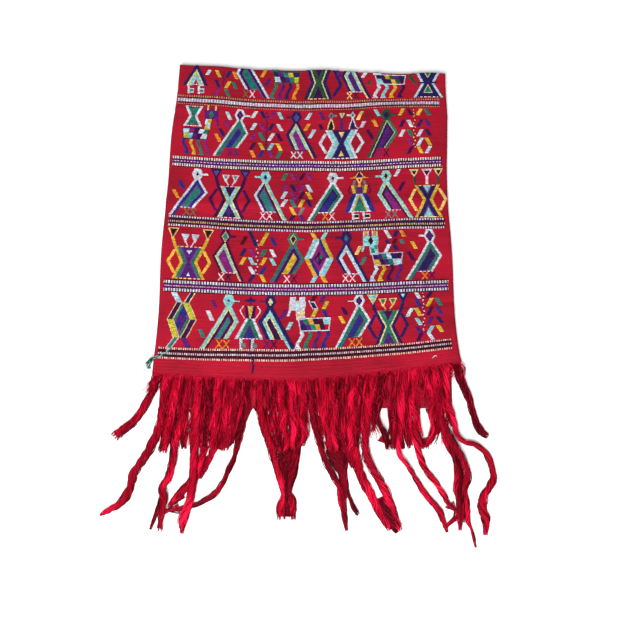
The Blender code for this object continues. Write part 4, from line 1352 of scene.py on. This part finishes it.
def spin_lock(lock, floor_at, hem_height, draw):
    """A lock's yarns: evenly spread at the hem, then turning round one another in a flat bundle. Light and
    shade are painted into each yarn's shade: a painted highlight on the crests of its turn, brightest
    where two waves along the lock meet, and painted shade towards the lock's sides by the cube of its
    place across and on the lock's lower yarns. A flat core closes the bundle, a dark sheet of painted
    shade."""
    line, width, side, run = smooth_line(lock.stations)
    if len(lock.stations) == 3:
        sway = np.sin(2 * math.pi * run / WAVE_LENGTH / draw.uniform(0.8, 1.4) + draw.uniform(0, 6))
        line = line + side * (WAVE * sway * np.clip(run / 0.02, 0, 1))[:, None]
    low = np.full(len(line), floor_at)
    if lock.down is not None:
        past = -line[:, 1] * 1000 + lock.down
        low = floor_at * (1 - np.clip((past + COMES_DOWN_MM) / COMES_DOWN_MM, 0, 1))
    count = round(np.max(width) * 1000 * YARNS_PER_MM)
    share = run / run[-1]
    turning = draw.choice([-1, 1]) * 2 * math.pi * run / TURN_LENGTH / draw.uniform(0.8, 1.3)
    angle = draw.uniform(0, 2 * math.pi, (count, 1)) + turning
    wave_length = draw.uniform(0.012, 0.03, (count, 1))
    angle = angle + 0.7 * np.sin(run / wave_length + draw.uniform(0, 6, (count, 1)))
    reach = np.sqrt(draw.uniform(0.15, 1, (count, 1)))
    across, up = reach * np.cos(angle), reach * np.sin(angle)
    spread = np.linspace(1, -1, count)[:, None] * (LOCK_PITCH_MM / 2000)
    gather = eased(np.clip(run / GATHERED_BY, 0, 1))
    half = np.maximum(width / 2 - 0.5 * YARN_RADIUS, YARN_RADIUS)
    wave_length = draw.uniform(0.006, 0.014, (count, 1))
    wander = WANDER * np.sin(run / wave_length + draw.uniform(0, 6, (count, 1)))
    offset = across * half * gather + spread * (1 - gather) + wander * gather
    long = draw.uniform(0.89, 1.0, (count, 1)) + 0.03
    along = np.minimum(share, long) * run[-1]
    x = np.interp(along, run, line[:, 0]) + offset * side[:, 0]
    y = np.interp(along, run, line[:, 1]) + offset * side[:, 1]
    up_from_hem = np.clip(run / RISES_BY, 0, 1)
    z = low + HALF_LOCK + LOCK_CLEARANCE + up * (HALF_LOCK - LOCK_CLEARANCE)
    z = hem_height * (1 - up_from_hem) + z * up_from_hem
    ended = share >= long
    radius = YARN_RADIUS * draw.uniform(0.8, 1.25, (count, 1)) * (1 - 0.75 * ended) * np.ones_like(share)
    points, faces = tubes(np.stack([x, y, z], axis=-1), side, radius)
    # Painted highlights: lightest on the crests of the turn and where the two waves along the lock meet
    crest = 0.5 + 0.5 * np.sin(2 * angle + 2.5 * across + draw.uniform(0, 6))
    gleam = np.sin(run / 0.017 + draw.uniform(0, 6)) * np.sin(run / 0.029 + draw.uniform(0, 6))
    gleam = np.clip(gleam, 0, 1)
    shade = (0.20 + 0.50 * crest + 0.85 * crest * gleam) * draw.uniform(0.74, 1.18, (count, 1))
    # Painted shade towards the lock's sides and on its lower yarns
    shade = shade * (1 - 0.62 * np.abs(across) ** 3) * (0.80 + 0.20 * up)
    # The core: a flat sheet of the same red, painted dark as the shade inside the bundle
    core_half = CORE_WIDTH * half
    core_side = np.concatenate([side, np.zeros((len(line), 1))], axis=1) * core_half[:, None]
    middle = np.concatenate([line, (low + CORE_HEIGHT * HALF_LOCK)[:, None]], axis=1)
    core = np.stack([middle - core_side, middle + core_side], axis=1)[:-1].reshape(-1, 3)
    faces = np.concatenate([faces, grid_faces(len(line) - 1, 2, len(points))])
    shade = np.concatenate([np.repeat(shade.ravel(), 3), np.full(len(core), CORE_SHADE)])
    return np.concatenate([points, core]), faces, shade


def fringe_yarn():
    """Shiny red cotton yarn: each yarn has its own shade, which also holds the painted highlights and
    painted shade of the fringe, and fine plies twist round it.
    """
    material, tree, shader = new_material(
        "red fringe yarn", Roughness=0.42, Specular_IOR_Level=0.35, Specular_Tint=(1, 0.20, 0.34, 1))
    shades = add_node(tree, "VertexColor")
    shades.layer_name = "shade"
    split = add_node(tree, "SeparateColor")
    place = add_node(tree, "TexCoord")
    plies = add_node(tree, "TexNoise", Scale=420.0, Detail=3.0, Roughness=0.65)
    level = add_node(tree, "MapRange", To_Min=0.6, To_Max=1.35)
    wire(tree, (shades, "Color", split, "Color"), (place, "Object", plies, "Vector"),
         (plies, "Fac", level, "Value"))
    mixed = add_math(tree, "MULTIPLY", (split, "Red"), (level, "Result"))
    red = add_node(tree, "ValToRGB")
    dark, light = red.color_ramp.elements
    dark.position = 0.15
    dark.color = (0.045, 0.0, 0.001, 1)
    light.position = 1.0
    light.color = (0.86, 0.008, 0.060, 1)
    middle = red.color_ramp.elements.new(0.6)
    middle.color = (0.465, 0.001, 0.018, 1)
    wire(tree, (mixed, "Value", red, "Fac"), (red, "Color", shader, "Base Color"))
    return material


def spin_loose(loose, short, floor_at, hem, hem_height, draw):
    """The loose yarns of one stretch of a hem: parabolas that lean as the short locks beside them do.
    They are painted in shade between the locks: the lower a yarn lies the darker it is; it is lighter
    near the hem, where it rises out of it, and its shade swells and fades along it.
    """
    count = round((loose.last - loose.first) * LOOSE_PER_MM)
    root = draw.uniform(loose.first, loose.last, count)
    reach = loose.reach + draw.uniform(-7, 7, count)
    roots = [lock.root for lock in short]
    knee = root + np.interp(root, roots, [lock.knee - lock.root for lock in short])
    tip = root + np.interp(root, roots, [lock.tip - lock.root for lock in short])
    start = hem(root / 1000) * 1000
    steps = round((np.max(start) - loose.reach) / LOOSE_STEP_MM) + 2
    t = np.linspace(0, 1, steps)[None, :]
    middle = (2 * knee - 0.5 * (root + tip))[:, None]
    x = (1 - t) ** 2 * root[:, None] + 2 * t * (1 - t) * middle + t**2 * tip[:, None]
    x = x + t * draw.uniform(-4, 4, (count, 1))
    x = x + 1.8 * t * np.sin(t * draw.uniform(4, 14, (count, 1)) + root[:, None])
    y = start[:, None] + t * (reach - start)[:, None]
    depth = draw.uniform(0, 1, (count, 1))
    z = floor_at + LOOSE_LOW + LOOSE_DEPTH * depth + 0.0004 * np.sin(9 * t + root[:, None])
    rise = np.clip(t / 0.1, 0, 1)
    z = hem_height * (1 - rise) + z * rise
    radius = YARN_RADIUS * draw.uniform(0.8, 1.2, (count, 1)) * (1 - 0.6 * t**6)
    centres = np.stack([x / 1000, y / 1000, z], axis=-1)
    points, faces = tubes(centres, np.tile([1.0, 0.0], (steps, 1)), radius)
    # Painted shade: the lower a loose yarn lies the darker it is; it is lighter near the hem
    shade = 0.22 + 0.48 * depth * draw.uniform(0.6, 1.3, (count, 1))
    shade = shade * (1 + 0.40 * np.sin(t * 11 + root[:, None] / 3)) + 0.22 * np.clip(1 - t / 0.12, 0, 1)
    return points, faces, np.repeat(shade.ravel(), 3)


def spin_strays(count, height, hem, draw):
    """Single fine yarns that lie curled on top of the locks."""
    t = np.linspace(0, 1, STRAY_STEPS)[None, :]
    x = draw.uniform(*STRAYS_BETWEEN, (count, 1)) / 1000
    y = hem(x) - draw.uniform(0.006, 0.085, (count, 1))
    length = draw.uniform(0.010, 0.030, (count, 1))
    turn = draw.uniform(-1.0, 1.0, (count, 1)) + t * draw.uniform(-2.2, 2.2, (count, 1))
    x = x + length * np.cumsum(np.sin(turn), axis=1) / STRAY_STEPS
    y = y - length * np.cumsum(np.cos(turn), axis=1) / STRAY_STEPS
    z = height + 0.0004 * np.sin(math.pi * t) + 0 * x
    radius = STRAY_RADIUS * np.ones_like(x)
    side = np.tile([1.0, 0.0], (STRAY_STEPS, 1))
    points, faces = tubes(np.stack([x, y, z], axis=-1), side, radius)
    return points, faces, np.repeat((1.25 + 0 * x).ravel(), 3)


def join_yarns(name, spun, material):
    """One piece with all the given yarns, which come as points, faces and shades."""
    points, faces, shade = join_parts(spun)
    points[:, 2] = np.maximum(points[:, 2], LOWEST_YARN)
    piece = new_piece(name, points - MIDDLE, faces, material)
    colour_points(piece, "shade", np.stack([shade, shade, shade], axis=1))
    return piece


red_yarn = fringe_yarn()
Hem = namedtuple("Hem", "name locks loose short strays edge low root_height")
HEMS = (
    Hem("upper", all_locks(UPPER_SHORT, UPPER_LONG, upper_hem, UPPER_ROOT), UPPER_LOOSE, UPPER_SHORT,
        strays=170, edge=upper_hem, low=UPPER_LOCKS_AT, root_height=1.5 * THICK + LAYER_GAP),
    Hem("lower", all_locks(LOWER_SHORT, LOWER_LONG, under_hem, LOWER_ROOT) + WISPS, LOWER_LOOSE,
        LOWER_SHORT, strays=40, edge=under_hem, low=0.0, root_height=0.5 * THICK),
)
for seed, hem in enumerate(HEMS, start=11):
    draw = np.random.default_rng(seed)
    spun = [spin_lock(lock, hem.low, hem.root_height, draw) for lock in hem.locks]
    locks = join_yarns("fringe_locks_" + hem.name, spun, red_yarn)
    spun = [spin_loose(loose, hem.short, hem.low, hem.edge, hem.root_height, draw) for loose in hem.loose]
    spun.append(spin_strays(hem.strays, hem.low + 2 * HALF_LOCK + STRAYS_OVER, hem.edge, draw))
    single_yarns = join_yarns("single_yarns_" + hem.name, spun, red_yarn)
    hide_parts("fringe_" + hem.name)
    for piece in (locks, single_yarns):
        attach(piece, "root")
